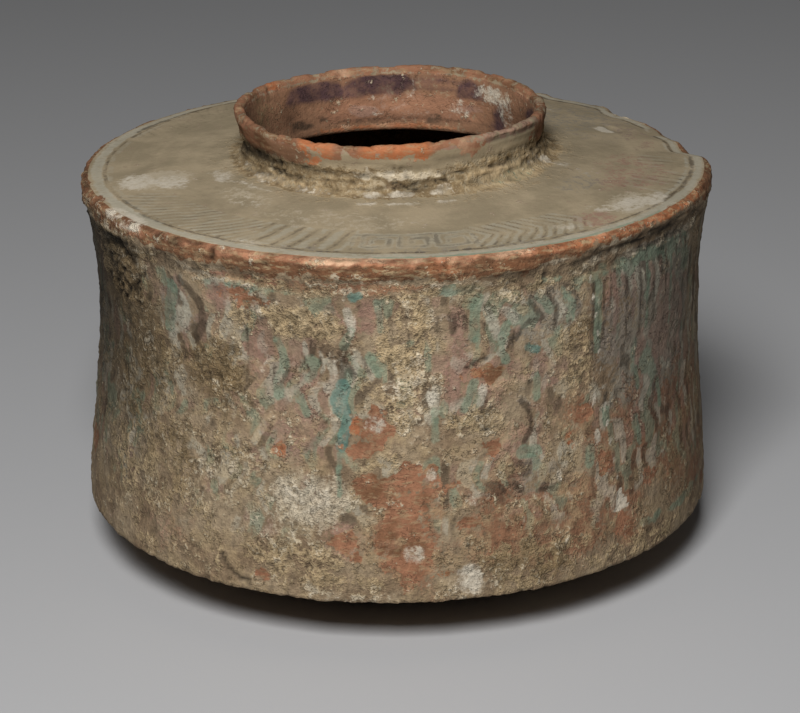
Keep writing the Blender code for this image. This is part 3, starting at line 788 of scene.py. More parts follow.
def key_pattern(half_width, cell=10):
    """Depth inside a running key: each cell is a hook made of straight strokes."""
    run = (ARC_LENGTH % cell) - cell / 2
    hook = (
        ((-4.2, -4), (-4.2, 4)), ((-4.2, 4), (3.4, 4)), ((3.4, 4), (3.4, -1.6)),
        ((3.4, -1.6), (-1.4, -1.6)), ((-1.4, -1.6), (-1.4, 1.4)), ((-4.2, -4), (5.8, -4)),
    )
    nearest = np.full(ANGLE.shape, cell)
    for (x0, y0), (x1, y1) in hook:
        away_x = np.maximum(np.maximum(min(x0, x1) - run, run - max(x0, x1)), 0)
        away_y = np.maximum(np.maximum(min(y0, y1) - ACROSS_BORDER, ACROSS_BORDER - max(y0, y1)), 0)
        nearest = np.minimum(nearest, np.hypot(away_x, away_y))
    return half_width - nearest


def add_border(kind, start, end, depth, ragged=0.3):
    """Lay one stretch of the border, from one angle to another."""
    ends = ((end - start) / 2 - turn_from((start + end) / 2)) * MM_PER_DEGREE
    inside = np.minimum(BORDER_HALF - np.abs(ACROSS_BORDER), ends)
    lay(kind, on_top, np.minimum(depth, inside) + ragged * RAGGED)


slanting = ARC_LENGTH + 0.9 * ACROSS_BORDER
chevron = ARC_LENGTH + 0.8 * np.abs(ACROSS_BORDER)
wide_slant = slanting * 0.8 - 0.5 * ACROSS_BORDER
# kind, start, end, run, spacing, half width
REPEATED = (
    ("dark", 203, 241, slanting, 3.1, 0.15), ("pale", 203, 241, slanting + 1.5, 3.1, 0.62),
    ("dark", 241, 262, wide_slant, 3.9, 0.3), ("pale", 241, 262, wide_slant + 1.9, 3.9, 0.85),
    ("dark", 285, 311, chevron, 3.3, 0.29), ("pale", 285, 311, chevron + 1.6, 3.3, 0.8),
    ("dark", 334, 361, ARC_LENGTH, 3.6, 0.28), ("pale", 334, 361, ARC_LENGTH + 1.8, 3.6, 0.55),
    ("dark", 62, 118, slanting, 3.4, 0.3), ("dark", 118, 160, chevron, 3.4, 0.3),
)
for kind, start, end, *lines in REPEATED:
    add_border(kind, start, end, repeated_line(*lines))
for kind, half_width in (("pale", 1.05), ("dark", 0.36)):
    add_border(kind, 261, 286, key_pattern(half_width))
print("stretches of the border:", len(REPEATED) + 2)
top_fading = 0.38 + 0.25 * smooth_step(20, 90, turn_from(270))
top_fading = np.where(RADIUS > 82.5, 0.1, top_fading + 0.35 * smooth_step(0, 0.4, cloud(6, 3, 241)))
put("faded", on_top, top_fading)

# %% Stains, lime and the pit on the top
# For each kind: angle, radius, half width, half height, share
TOP_GROUND = {
    "cream": (
        (196, 71, 9, 11, 0.95), (326, 80, 11, 8, 0.95), (242, 84, 5, 3, 0.8), (256, 64, 26, 8, 0.35),
        (305, 80, 5, 3, 0.7), (224, 58, 14, 5, 0.45), (100, 72, 18, 8, 0.5),
    ),
    "rose": ((313, 80, 8, 6, 0.55), (345, 70, 20, 12, 0.45), (20, 76, 20, 8, 0.35),),
    "ash": ((275, 84, 46, 4, 0.4), (330, 60, 12, 6, 0.4),),
    "lime": (
        (195, 76, 8.4, 6.4, 0.9), (200, 67, 8.4, 5.4, 0.8), (242, 84.2, 3.6, 2, 0.6),
        (325, 79, 9, 4.6, 0.95), (331, 82, 7, 3.8, 0.9), (319, 76, 5, 2.6, 0.7), (213.5, 88, 12, 2.6, 0.95),
        (343, 50.5, 3.2, 2.6, 0.8), (316, 73, 6, 1.6, 0.45), (305, 80, 3.2, 2.4, 0.6),
        (203.5, 53.5, 8, 3.6, 0.8), (220, 51.5, 9, 1.8, 0.8), (261, 51, 3.4, 1.4, 0.9),
        (272, 51, 5.4, 1.4, 0.95), (286, 51, 3.4, 1.2, 0.85), (228, 60, 7, 5, 0.45), (340, 60, 6, 6, 0.4),
        (110, 74, 7, 6, 0.55), (48, 66, 6, 5, 0.5), (23.5, 67.4, 4.2, 2.8, 1.5),
    ),
}
lay_ovals("shoulder", TOP_GROUND)
add_patches("shoulder", {"clay": ((201, 88, 3, 1.6),)}, ragged=0.4)
share["crust"] += on_top * 0.3 * smooth_step(56, 51, RADIUS)
pit = soft_oval("shoulder", 24, 70.6, 4, 1.6)
# The pit is painted darker, as shade inside it.
tone_and_painted_light -= 0.9 * pit
print("kinds of stains on the top:", len(TOP_GROUND))

# %% [markdown]
# ## The collar
# Soil has packed round the foot of the collar and set hard. Above it runs the smooth ridge that the
# potter's finger left, and above that the rim has worn through to bright clay. Inside, dark purple
# shapes with round tops hang below the rim, over a terracotta ground.

# %% The collar's outside
# For each kind: angle, height, half width, half height
COLLAR_PATCHES = {
    "clay": (
        (272.5, 129.6, 13, 2.4), (240.5, 129.4, 6.4, 2.2), (239, 126, 2.6, 2.2), (248, 127.8, 3, 2.2),
        (299.4, 128.2, 4.6, 2.6), (348, 127, 10, 4.6), (206, 127.2, 15, 3.6), (60, 127.6, 20, 2.4),
        (120, 127.2, 16, 2.8),
    ),
    "mauve": ((270.5, 118.6, 2.8, 0.8), (312, 121, 5, 1.4),),
    "teal": ((321, 117.6, 8, 1.6),),
}
add_patches("collar", COLLAR_PATCHES, ragged=0.6)
print("kinds of patches on the collar:", len(COLLAR_PATCHES))
smooth_front = near(276, 34)
left_collar = near(222, 46)
right_collar = near(318, 30)

# %% Packed soil and the smooth ridge
SOIL_THINS_FROM = 122.4
SOIL_ENDS = 125.6
packed_soil = on_collar * smooth_step(SOIL_ENDS, SOIL_THINS_FROM, HEIGHT + 1.5 * coarse_rag)
share["crust"] += packed_soil * (0.8 - 0.2 * smooth_front)
layers = cloud(2.6, 3, 51, 3.5, 0.5)
slanted = np.sin(2.1 * (TURNED[:, :, 0] + 0.9 * HEIGHT) + 5 * coarse_rag)
slanted *= smooth_step(0, 0.35, fine_rag + 0.15)
speckled = bell(HEIGHT, 119.4, 1.5) * near(277, 24) * (1 + 1.5 * fine_rag)
cream_band = bell(HEIGHT + 1.2 * coarse_rag + 0.8 * fine_rag, 122.2, 1.8) * near(275, 28)
put("cream", on_collar, 1.3 * cream_band)
put("olive", on_collar, 0.6 * packed_soil * (1 - 0.75 * right_collar) * (1 - cream_band))
ridge_lines = cloud(3, 2, 271, 6, 0.35)
soft_foot = bell(HEIGHT, 116.8, 2.6)
collar_tone = packed_soil * (0.9 * layers - 0.22 - 0.8 * left_collar * slanted) - 0.22 * smooth_front
collar_tone += 0.25 * level_streaks - 0.55 * speckled + cream_band * (0.7 + 1.6 * fine_rag)
tone_and_painted_light += on_collar * (collar_tone + 0.9 * ridge_lines * bell(HEIGHT, 126, 3.4) + 0.42 * soft_foot)
put("ash", on_collar, 0.8 * soft_foot * (left_collar + right_collar))
# Painted shade on the collar's left end, below the rim.
share["painted_shade"] += on_collar * near(208, 36) * bell(HEIGHT - 0.05 * (ANGLE - 208), 122.2, 3.6)
left_wash = smooth_step(246, 232, ANGLE) * (ANGLE > 150) * smooth_step(121.5, 124.5, HEIGHT)
right_wash = smooth_step(334, 342, ANGLE) * smooth_step(120.5, 123.5, HEIGHT)
put("wash", on_collar, 0.9 * left_wash + 1.1 * right_wash)
# The slit under the rim at the right is cut in and painted darker as shade.
slit = (on_upper_collar & (RADIUS > 43.8)) * bell(HEIGHT, 128.8, 1) * smooth_step(18, 12, turn_from(322))
share["painted_shade"] += 0.85 * slit
# angle, height, half width, half height, share
COLLAR_LIME = (
    (270, 122, 11, 0.9, 0.5), (221.5, 117.6, 7.5, 1.1, 0.55), (202, 117.6, 4, 1, 0.6),
    (262, 116.9, 3.4, 0.8, 0.85), (272.5, 117, 4.4, 0.9, 0.85), (285.5, 117, 3, 0.8, 0.8),
    (336, 118.6, 4.8, 1.2, 0.55), (150, 118, 8, 1.4, 0.6), (343, 117.4, 3.4, 1.2, 0.8),
    (216, 117, 6, 1.2, 0.65), (240, 116.8, 8, 1, 0.5), (288, 117.6, 3, 1.2, 0.6),
)
lay_ovals("collar", {"lime": COLLAR_LIME})
print("packed soil covers", round(float((packed_soil[on_collar] > 0.5).mean()), 2), "of the collar")

# %% The rim and the painted throat
front_rim = smooth_step(20, 14, turn_from(272))
lay("clay", on_rim, 0.7 + 1.2 * coarse_rag + 0.7 * fine_rag - 2.2 * near(322, 26) + 1.2 * front_rim)
orange_front = near(272, 22) + near(241, 11)
share["blush"] += on_upper_collar * (0.22 + 0.45 * orange_front + 0.4 * coarse_rag)
share["ember"] += on_upper_collar * 0.7 * smooth_step(0.2, 0.6, orange_front + 0.25 * coarse_rag)
put("slip", on_rim, 0.6)
put("rose", on_rim | (on_collar & (HEIGHT > 128.5)), 0.75 + 0.5 * coarse_rag)
print("bare clay covers", round(float((paint["clay"][on_rim] > 0).mean()), 2), "of the rim")

# %% The throat's ground colours
middle_back = near(88, 52)
put("wash", on_throat, 1.15 - 0.3 * middle_back)
put("slip", on_throat, 0.5)
pink_belt = smooth_step(123.5, 121.5, HEIGHT + 2 * coarse_rag) * smooth_step(114, 116, HEIGHT)
pink_belt *= 1.4 * middle_back
pale_strip = smooth_step(127.6, 128.8, HEIGHT + 0.8 * coarse_rag)
orange_foot = bell(HEIGHT + 0.8 * coarse_rag, 112.6, 1.9) * near(95, 62)
foot_line = bell(HEIGHT + 0.6 * coarse_rag, 115.3, 0.8) * near(85, 54)
left_mottle = near(134, 20) * bell(HEIGHT, 119.5, 7) * (0.45 + 1.6 * coarse_rag)
grey_end = near(43, 16) * bell(HEIGHT, 125, 3.6)
put("rose", on_throat, np.maximum(1.6 * pink_belt, pale_strip))
put("blush", on_throat, 0.45 + 0.9 * coarse_rag + 0.45 * pink_belt)
put("olive", on_throat, 0.5 * near(160, 22))
put("cream", on_throat, grey_end)
put("ash", on_throat, grey_end)
lay("clay", on_throat, 3 * (orange_foot - 0.45))
share["ember"] += on_throat * 0.45 * orange_foot
throat_tone = 0.66 * pink_belt + 0.8 * cloud(4, 3, 251, 2, 0.7) + 0.45 * pale_strip + 0.2
tone_and_painted_light += on_throat * (throat_tone + 0.35 * level_streaks - 0.9 * foot_line - left_mottle)
print("pink belt covers", round(float((pink_belt[on_throat] > 0.5).mean()), 2), "of the throat")

# %% Purple domes, patches, lime and painted light in the throat
# Each dome has a flat foot and a round top: angle, foot, half width, half height
THROAT_DOMES = (
    (123, 122.6, 10.4, 6), (131, 123, 6.4, 5), (98, 122.4, 9.4, 6.8), (87, 124, 5.4, 4.6),
    (55, 122.4, 5, 6), (230, 122.2, 9.4, 5.4), (262, 122.4, 9.4, 5.4), (296, 122.4, 9.4, 5.4),
    (333, 122.2, 8.6, 5.4), (8, 122.2, 8.6, 5.2), (198, 122.4, 7.6, 5),
)
for angle, foot, half_width, half_height in THROAT_DOMES:
    dome = oval("throat", angle, foot, half_width, half_height, 0.5)
    lay("purple", on_throat, 1.3 * np.minimum(dome, PLACE - foot + 0.6 * coarse_rag) + 0.2 * RAGGED)
# For each kind: angle, height, half width, half height
THROAT_PATCHES = {
    "purple": ((41, 118, 3, 5), (70, 126.8, 7, 0.45), (70, 124.6, 7, 0.4),),
    "mauve": ((91, 123, 0.9, 1.8), (103, 118, 4, 1.9), (55, 119.4, 4.6, 1.2),),
    "dark": (
        (130, 114.8, 5, 1), (122, 117.2, 2, 0.8), (134, 116.5, 3, 1.2), (95, 114.5, 26, 0.35),
        (60, 115.5, 7, 0.5), (76, 115.6, 4, 0.4),
    ),
}
add_patches("throat", THROAT_PATCHES, ragged=0.35)
# angle, height, half width, half height, share
THROAT_LIME = (
    (45, 125, 7.4, 3.2, 0.7), (82.5, 122.4, 2, 1.6, 0.6), (80.5, 125.5, 0.8, 3.4, 0.5),
    (97, 116.8, 3, 1, 0.6), (80, 116.4, 6, 0.9, 0.5), (36, 120.5, 4.6, 5.4, 0.62), (62, 118, 6, 1.6, 0.5),
    (62, 121, 3, 1.4, 0.45), (99, 122, 2.6, 0.9, 0.5),
)
lay_ovals("throat", {"lime": THROAT_LIME})
# angle, height, half width, half height, share
# Painted light on the back of the throat, which also warms the clay there.
THROAT_LIGHT_AND_WARMTH = (
    (108, 123, 2.6, 3, 0.7), (110.5, 125.4, 1.8, 2, 0.6), (116, 120, 9, 2.6, 0.35),
    (73, 120.8, 8, 2.6, 0.45), (93, 119.4, 10, 2.6, 0.45), (52, 119.4, 8, 2.2, 0.4),
    (65, 121.4, 8, 2.4, 0.4),
)
throat_light_and_warmth = heap("throat", THROAT_LIGHT_AND_WARMTH)
share["blush"] += 0.5 * throat_light_and_warmth
tone_and_painted_light += throat_light_and_warmth
put("wash", np.isin(ZONE, ("underside", "inside")), 0.35)
print("throat domes:", len(THROAT_DOMES))

# %% Soil, painted shade and warmth in single places
# The darkening marks on the collar are painted shade, in the gaps at both ends of its foot and on its upper
# sides. Of the tone marks, the lighter front of the lip and back of the throat and the darker left of the
# lip, right of the top and left of the collar are partly painted light and shade.
MARKED = {
    "lip": on_lip, "top": on_top, "collar": on_collar, "upper collar": on_upper_collar, "rim": on_rim,
    "throat": on_throat,
}
# field, part, amount, angle, reach to both sides, and for some the height and the reach up and down
MARKS = (
    ("tone_and_painted_light", "lip", 0.6, 270, 12, 105.6, 3), ("tone_and_painted_light", "lip", -0.9, 212, 26, 104.5, 6),
    ("tone_and_painted_light", "top", -0.34, 350, 50), ("tone_and_painted_light", "top", -0.3, 42, 36), ("ash", "top", 0.45, 36, 40),
    ("tone_and_painted_light", "collar", -0.5, 222, 46, 121.4, 3), ("painted_shade", "collar", 0.55, 190, 16, 119.8, 3.4),
    ("painted_shade", "collar", 0.1, 344, 20), ("painted_shade", "collar", 0.3, 344, 20, 120.6, 2.4),
    ("painted_shade", "upper collar", 0.28, 350, 34), ("painted_shade", "upper collar", 0.28, 208, 16),
    ("blush", "upper collar", 0.5, 299, 12), ("ember", "upper collar", 0.7, 145, 5),
    ("blush", "rim", 0.35, 110, 60), ("tone_and_painted_light", "throat", 0.45, 60, 34),
)
share["tone_and_painted_light"] = tone_and_painted_light
for name, part, amount, angle, reach, *level in MARKS:
    at_level = bell(HEIGHT, *level) if level else 1
    share[name] = share[name] + MARKED[part] * amount * near(angle, reach) * at_level
tone_and_painted_light = share["tone_and_painted_light"]
print("single places:", len(MARKS))

# %% [markdown]
# ## Relief
# Crust stands up to about a millimetre off the wall in grains, and flaked places lie lower than the
# painted skin. That could be left to a bump map, but it shows at the edges of the vessel and in
# raking light, so it is moved into the mesh here. The finest grain stays with the material.

# %% Cracks and the white chip
# The angle and the height of each point of a crack
CRACKS = (
    (238, 24.5, 239.2, 21, 241, 19.2, 243.5, 18), (281.4, 80.8, 283.5, 82.6, 285.2, 82.9),
    (283.8, 63.4, 284.8, 62.5, 285.9, 62.7), (237, 112.4, 237.6, 110.6, 237.2, 109),
)
CRACK_HALF_WIDTH = 0.5
cracked = CRACK_HALF_WIDTH - np.minimum.reduce([away_from_line(*line) for line in CRACKS])
# The cracks are painted darker, as shade inside them.
tone_and_painted_light -= 1.1 * smooth_step(-0.5, 0.3, cracked)
CHIP_ANGLE = 313.6
CHIP_FOOT = 31.2
CHIP_TALL = 7
chip_up = (HEIGHT - CHIP_FOOT) / CHIP_TALL
chip_across = turn_between(ANGLE, CHIP_ANGLE) * MM_PER_DEGREE - 1.2 * (0.3 - chip_up)
chip_depth = np.minimum(2.9 * np.clip(1 - chip_up, 0, 1) - np.abs(chip_across), HEIGHT - CHIP_FOOT - 0.2)
chip = on_wall * smooth_step(-0.35, 0.35, chip_depth + 0.25 * fine_rag)
chip_shadow = on_wall * smooth_step(-1.1, -0.2, chip_depth) * (1 - chip) * (chip_across > 0)
lay("lime", on_wall, 2.4 * chip)
grey_side = soft_oval("wall", 324, 80, 26, 38)
share["film"] *= 1 - 0.75 * grey_side
share["crust"] *= (1 - chip) * (1 - 0.3 * grey_side)
tone_and_painted_light += 0.5 * chip - chip_shadow - 0.22 * grey_side
tone_and_painted_light += heap("wall", ((271.5, 86, 12, 30, 0.42), (264.6, 63.5, 6, 7, -0.35)))
print("cracks:", len(CRACKS))

# %% Push the points out and in
def hairlines(width, *noise_shape):
    """1 along thin wandering lines, where a cloudy field passes through zero."""
    return smooth_step(width, 0, np.abs(cloud(*noise_shape)))


share["crust"] *= 1 - 0.75 * (on_wall & ~on_lip) * smooth_step(-1, 0.5, paint["clay"])
grain = cloud(3.2, 3, 91)
fine_grain = cloud(1.3, 1, 17)
crust_share = np.clip(share["crust"], 0, 1)
crevice = hairlines(0.11, 5, 3, 61, 1.4, 0.7) * crust_share ** 1.5
level_cracks = on_wall * hairlines(0.07, 4, 3, 67, 1.9, 0.55) * (0.25 + 0.75 * crust_share)
rugged = soft_oval("wall", 209, 98, 16, 13)
soil_lumps = 0.35 * cloud(6.5, 2, 281) + 0.55 * grain + 0.36 * fine_grain
relief = crust_share * (0.34 + soil_lumps * (1 + 0.8 * rugged))
relief -= 0.5 * crevice * (1 + 0.8 * rugged) + 0.3 * level_cracks
# Painted shade darkens the crevices and level cracks in the crust.
tone_and_painted_light -= on_wall * 0.5 * crevice * (1 + rugged) + 0.6 * level_cracks
bare_low = 0.22 * smooth_step(-0.3, 0.5, paint["clay"]) * (1 - crust_share)
relief += on_wall * (0.15 * grain + 0.13 * fine_grain - bare_low)
lip_flakes = 0.16 * cloud(6, 3, 161) + 0.22 * level_streaks + 0.26 * fine_grain + 0.2 * grain
relief += on_lip * (lip_flakes - 0.8 * right_undercut_and_shadow)
steep = smooth_step(COLLAR_FOOT_HEIGHT + 0.3, COLLAR_FOOT_HEIGHT + 2.2, HEIGHT)
soil_relief = packed_soil * (0.6 * layers * steep + 0.36 * grain + 0.06 * fine_grain)
collar_crevice = hairlines(0.1, 4.2, 3, 65, 1.8, 0.8) * packed_soil * steep
relief = np.where(on_collar, 0.25 * relief + soil_relief + 0.1 * ridge_lines, relief) - 0.35 * collar_crevice
# Painted shade darkens the crevices in the collar's soil.
tone_and_painted_light -= 0.75 * collar_crevice
rim_chips = smooth_step(0, 0.45, cloud(5, 3, 29))
relief += on_rim * (0.2 * grain + 0.1 * fine_grain - 0.15 - 0.6 * rim_chips)
relief += on_throat * 0.1 * level_streaks + on_top * 0.03 * (wheel_rings + fine_grain)
relief -= 1.1 * pit + 0.55 * smooth_step(-0.3, 0.4, cracked) + 0.6 * chip + 0.45 * slit


def local_mean(values, reach):
    """The mean over the neighbours up to this many rows and columns away."""
    shifts = range(-reach, reach + 1)
    for axis in (0, 1):
        values = sum(np.roll(values, shift, axis=axis) for shift in shifts) / len(shifts)
    return values


# Painted shade in the hollows and a painted highlight on the high grains, worked out from the relief.
cavity_shade_and_highlight = np.clip((relief - local_mean(relief, 3)) / 0.3, -1.3, 1)
shaded = np.where(on_wall, 0.62 + 0.7 * rugged, 0.5 * packed_soil)
tone_and_painted_light += cavity_shade_and_highlight * np.where(on_lip, 0.35, shaded) * (1 - chip)
relief[[0, -1]] = 0
relief = np.where(ZONE == "underside", relief * 0.5, relief)
shaped = bare_vessel + NORMALS * relief[:, :, None]
print("relief, mm:", round(float(relief.min()), 2), "to", round(float(relief.max()), 2))

# %% [markdown]
# ## The mesh
# The grid becomes quads. Two many-sided faces close it, under the foot and on the floor inside. The
# fields are stored as attributes on the points, where the material finds them by name.

# %% Build the mesh and store the fields
def grid_faces():
    """Quads between neighbouring rows and columns, and the two flat ends."""
    index = np.arange(ROWS * COLUMNS).reshape(ROWS, COLUMNS)
    beside = np.roll(index, -1, axis=1)
    quads = np.stack([index[:-1], beside[:-1], beside[1:], index[1:]], axis=2).reshape(-1, 4).tolist()
    foot = index[0][::-1].tolist()
    floor = index[-1].tolist()
    return quads + [foot, floor]


def store(mesh, name, values):
    """Keep one number for each point under this name."""
    attribute = mesh.attributes.new(name, "FLOAT", "POINT")
    attribute.data.foreach_set("value", values.astype(np.float32).ravel())


canister_mesh = bpy.data.meshes.new("painted_canister")
canister_mesh.from_pydata((shaped * MM).reshape(-1, 3).tolist(), [], grid_faces())
for name in STROKES:
    store(canister_mesh, name, np.clip(paint[name], FAR_OUT, -FAR_OUT))
for name in SHARES:
    store(canister_mesh, name, share[name])
store(canister_mesh, "tone_and_painted_light", tone_and_painted_light)
canister_mesh.shade_smooth()


def stand(name, data):
    """Put an object with this data into the scene."""
    thing = bpy.data.objects.new(name, data)
    bpy.context.scene.collection.objects.link(thing)
    return thing


canister = stand("painted_canister", canister_mesh)
print("faces:", len(canister_mesh.polygons))


# %% Unroll the surface flat
def unroll(mesh):
    """One strip for the turned surface and two small discs for the ends."""
    steps = np.linalg.norm(np.diff(profile, axis=0), axis=1)
    down = np.concatenate([[0.0], np.cumsum(steps)])
    strip = 0.8 * down / down[-1]
    layer = mesh.uv_layers.new(name="OFBake")
    loops = np.zeros(len(mesh.loops), dtype=np.int64)
    mesh.loops.foreach_get("vertex_index", loops)
    row = loops // COLUMNS
    column = loops % COLUMNS
    quad_loops = 4 * (ROWS - 1) * COLUMNS
    corner = np.arange(len(loops))
    wraps = (corner < quad_loops) & (column == 0) & np.isin(corner % 4, (1, 2))
    across = (even[column] / 360) + wraps * 1
    coords = np.stack([0.002 + 0.996 * across, 0.005 + strip[row]], axis=1)
    disc = corner >= quad_loops
    turn = np.radians(even[column])
    disc_middle = np.where(row == 0, 0.12, 0.36)
    coords[disc, 0] = (disc_middle + 0.085 * np.cos(turn))[disc]
    coords[disc, 1] = (0.905 + 0.085 * np.sin(turn))[disc]
    layer.data.foreach_set("uv", coords.astype(np.float32).ravel())


unroll(canister_mesh)
print("unrolled corners:", len(canister_mesh.loops))

# %% [markdown]
# ## The finish
# One material carries every layer, from the clay up: bare red clay, the mauve and grey-brown skin,
# the strokes, the crust and the lime. Each layer covers the one below it where its field says so,
# and noise in the object's own space frays the edges and breaks the cover into grains. Fired clay
# under soil is dull, so the roughness stays high everywhere.

# %% Pigments, as seen in daylight
def pigment(red, green, blue):
    """A colour from 0 to 255 as it looks on a screen, turned into the light that it gives back."""
    levels = []
    for value in (red, green, blue):
        level = value / 255
        levels.append(level / 12.92 if level <= 0.04045 else ((level + 0.055) / 1.055) ** 2.4)
    return (*levels, 1)


PIGMENTS = {
    "skin_tan": pigment(150, 132, 107),
    "skin_brown": pigment(128, 108, 85),
    "cream": pigment(186, 173, 150),
    "olive": pigment(119, 100, 72),
    "rose": pigment(152, 116, 100),
    "ash": pigment(132, 126, 114),
    "wash": pigment(132, 93, 69),
    "slip_tan": pigment(165, 149, 122),
    "slip_olive": pigment(147, 133, 108),
    "clay_brown": pigment(116, 82, 58),
    "clay_red": pigment(150, 106, 80),
    "clay_salmon": pigment(192, 154, 124),
    "clay_orange": pigment(188, 112, 68),
    "teal": pigment(116, 134, 113),
    "vivid": pigment(86, 122, 112),
    "dark": pigment(60, 50, 40),
    "pale": pigment(172, 166, 148),
    "mauve": pigment(138, 110, 96),
    "purple": pigment(74, 54, 56),
    "crust_tan": pigment(163, 142, 109),
    "crust_grain": pigment(182, 167, 137),
    "pit_and_crack_shade": pigment(74, 60, 42),
    "lime": pigment(196, 186, 168),
}
print("pigments:", len(PIGMENTS))

# %% A small kit for wiring a material
clay_finish = bpy.data.materials.new("painted_clay_worn")
clay_finish.use_nodes = True
tree = clay_finish.node_tree
shader = tree.nodes["Principled BSDF"]


def plug(value, socket):
    """Wire a socket to a socket, or set a plain value."""
    if isinstance(value, bpy.types.NodeSocket):
        tree.links.new(value, socket)
    else:
        socket.default_value = value


def new_node(kind, inputs, output=0, **options):
    """Add a node, set its options, fill its inputs and give back one output."""
    node = tree.nodes.new("ShaderNode" + kind)
    for name, value in options.items():
        setattr(node, name, value)
    for name, value in inputs.items():
        plug(value, node.inputs[name])
    return node.outputs[output]


def maths(operation, first, second=0):
    """One step of arithmetic."""
    return new_node("Math", {0: first, 1: second}, operation=operation)


def plus(first, second):
    """The sum of two numbers."""
    return maths("ADD", first, second)


def times(first, second):
    """Two shares, one after the other."""
    return maths("MULTIPLY", first, second)


def rest(taken):
    """What is left of 1."""
    return maths("SUBTRACT", 1, taken)


def ease(value, low, high):
    """0 below low, 1 above high, smooth between them."""
    limits = {"Value": value, "From Min": low, "From Max": high}
    return new_node("MapRange", limits, "Result", interpolation_type="SMOOTHSTEP")


def field(name):
    """The number that the points carry under this name."""
    return new_node("Attribute", {}, "Fac", attribute_name=name)


def cover(amount, under, over):
    """Lay one colour over another."""
    return new_node("Mix", {"Factor": amount, "A": under, "B": over}, "Result", data_type="RGBA")


in_metres = new_node("TexCoord", {}, "Object")
surface_mm = new_node("VectorMath", {0: in_metres, "Scale": 1 / MM}, operation="SCALE")


def grains(size, detail=3, roughness=0.6, stretch=1, start=0):
    """Noise from 0 to 1 with grains of this size in mm, drawn out upwards where stretch is over 1."""
    scale = (1, 1, 1 / stretch)
    moved = new_node("Mapping", {"Vector": surface_mm, "Location": (start, start, start), "Scale": scale})
    shape = {"Vector": moved, "Scale": 1 / size, "Detail": detail, "Roughness": roughness}
    return new_node("TexNoise", shape, "Fac")


# %% Grains of several sizes
speck = grains(1.1, 2, 0.75)
grit = grains(2.3, 3, 0.75, start=7)
mottle = grains(5, 4, 0.7, start=40)
drift = grains(15, 4, 0.6, start=90)
streak = grains(1.7, 3, 0.65, stretch=5, start=20)


def about(noise_value, size):
    """Noise turned round zero and scaled."""
    return times(maths("SUBTRACT", noise_value, 0.5), size)


rough_edge = plus(about(grit, 1.8), about(speck, 1))
ragged_reach = plus(rough_edge, about(mottle, 1.8))


def broken(amount, low=0.3, high=0.66):
    """A share from 0 to 1, broken up into grains and blotches."""
    return ease(plus(amount, ragged_reach), low, high)


# %% The skin of slip and paint
skin = cover(ease(drift, 0.38, 0.62), PIGMENTS["skin_brown"], PIGMENTS["skin_tan"])
slip = cover(ease(drift, 0.38, 0.64), PIGMENTS["slip_olive"], PIGMENTS["slip_tan"])
surface = cover(field("slip"), skin, slip)
for kind, strength in (("rose", 0.75), ("ash", 0.75), ("wash", 0.85), ("olive", 0.75), ("cream", 0.6)):
    surface = cover(times(broken(field(kind), 0.25, 0.8), strength), surface, PIGMENTS[kind])

for kind, strength in (("dark", 0.55), ("pale", 0.55), ("teal", 0.5), ("mauve", 0.5)):
    lies = ease(plus(field("old_" + kind), times(ragged_reach, 0.45)), 0.3, 0.8)
    surface = cover(times(lies, strength), surface, PIGMENTS[kind])

worn = ease(grains(3.4, 4, 0.72, stretch=1.5, start=60), 0.32, 0.48)
worn = plus(0.45, times(worn, 0.55))
kept = times(worn, rest(field("faded")))
for kind, strength in (("mauve", 0.62), ("pale", 0.78), ("teal", 0.74), ("dark", 0.76), ("vivid", 0.8)):
    fraying = ragged_reach if kind == "mauve" else times(rough_edge, 0.85)
    depth = plus(field(kind), fraying)
    surface = cover(times(ease(depth, -0.38, 0.38), times(kept, strength)), surface, PIGMENTS[kind])
purple_depth = plus(field("purple"), times(rough_edge, 1.2))
purple_left = plus(0.6, times(ease(mottle, 0.36, 0.6), 0.36))
surface = cover(times(ease(purple_depth, -1.2, 1.3), purple_left), surface, PIGMENTS["purple"])

# %% A thin film of soil over the painted wall
film = plus(field("film"), plus(about(mottle, 2), about(grit, 1)))
surface = cover(times(ease(film, 0.35, 0.75), 0.5), surface, PIGMENTS["crust_tan"])

# %% Bare clay
heat = plus(field("blush"), about(mottle, 0.9))
clay = cover(ease(heat, 0.05, 0.45), PIGMENTS["clay_brown"], PIGMENTS["clay_red"])
clay = cover(ease(heat, 0.55, 1.05), clay, PIGMENTS["clay_salmon"])
clay = cover(field("ember"), clay, PIGMENTS["clay_orange"])
level_grit = grains(3.4, 3, 0.65, stretch=0.3, start=150)
tan_left = plus(0.45, times(field("cream"), 0.55))
clay = cover(times(ease(level_grit, 0.48, 0.66), tan_left), clay, PIGMENTS["crust_tan"])
bare = ease(plus(field("clay"), times(ragged_reach, 2.2)), -0.35, 0.45)
surface = cover(bare, surface, clay)

# %% Crust and lime
crust = cover(broken(field("olive"), 0.25, 0.8), PIGMENTS["crust_tan"], PIGMENTS["olive"])
crust = cover(broken(field("cream"), 0.25, 0.8), crust, PIGMENTS["cream"])
crust = cover(times(ease(speck, 0.52, 0.74), 0.42), crust, PIGMENTS["crust_grain"])
crust_lies = broken(field("crust"), 0.36, 0.7)
surface = cover(times(crust_lies, 0.85), surface, crust)
# Painted shade: a dark colour in the pits between grains and in fine cracks.
pit_shade = times(ease(grit, 0.37, 0.27), plus(0.12, times(field("crust"), 0.26)))
pit_shade = times(pit_shade, rest(field("slip")))
surface = cover(pit_shade, surface, PIGMENTS["pit_and_crack_shade"])
crack_noise = grains(2.8, 3, 0.62, stretch=0.55, start=130)
cracks = ease(maths("ABSOLUTE", maths("SUBTRACT", crack_noise, 0.5)), 0.026, 0)
cracks = times(times(cracks, ease(mottle, 0.46, 0.62)), rest(field("slip")))
cracks = times(cracks, rest(times(bare, 0.4)))
surface = cover(times(cracks, 0.62), surface, PIGMENTS["pit_and_crack_shade"])

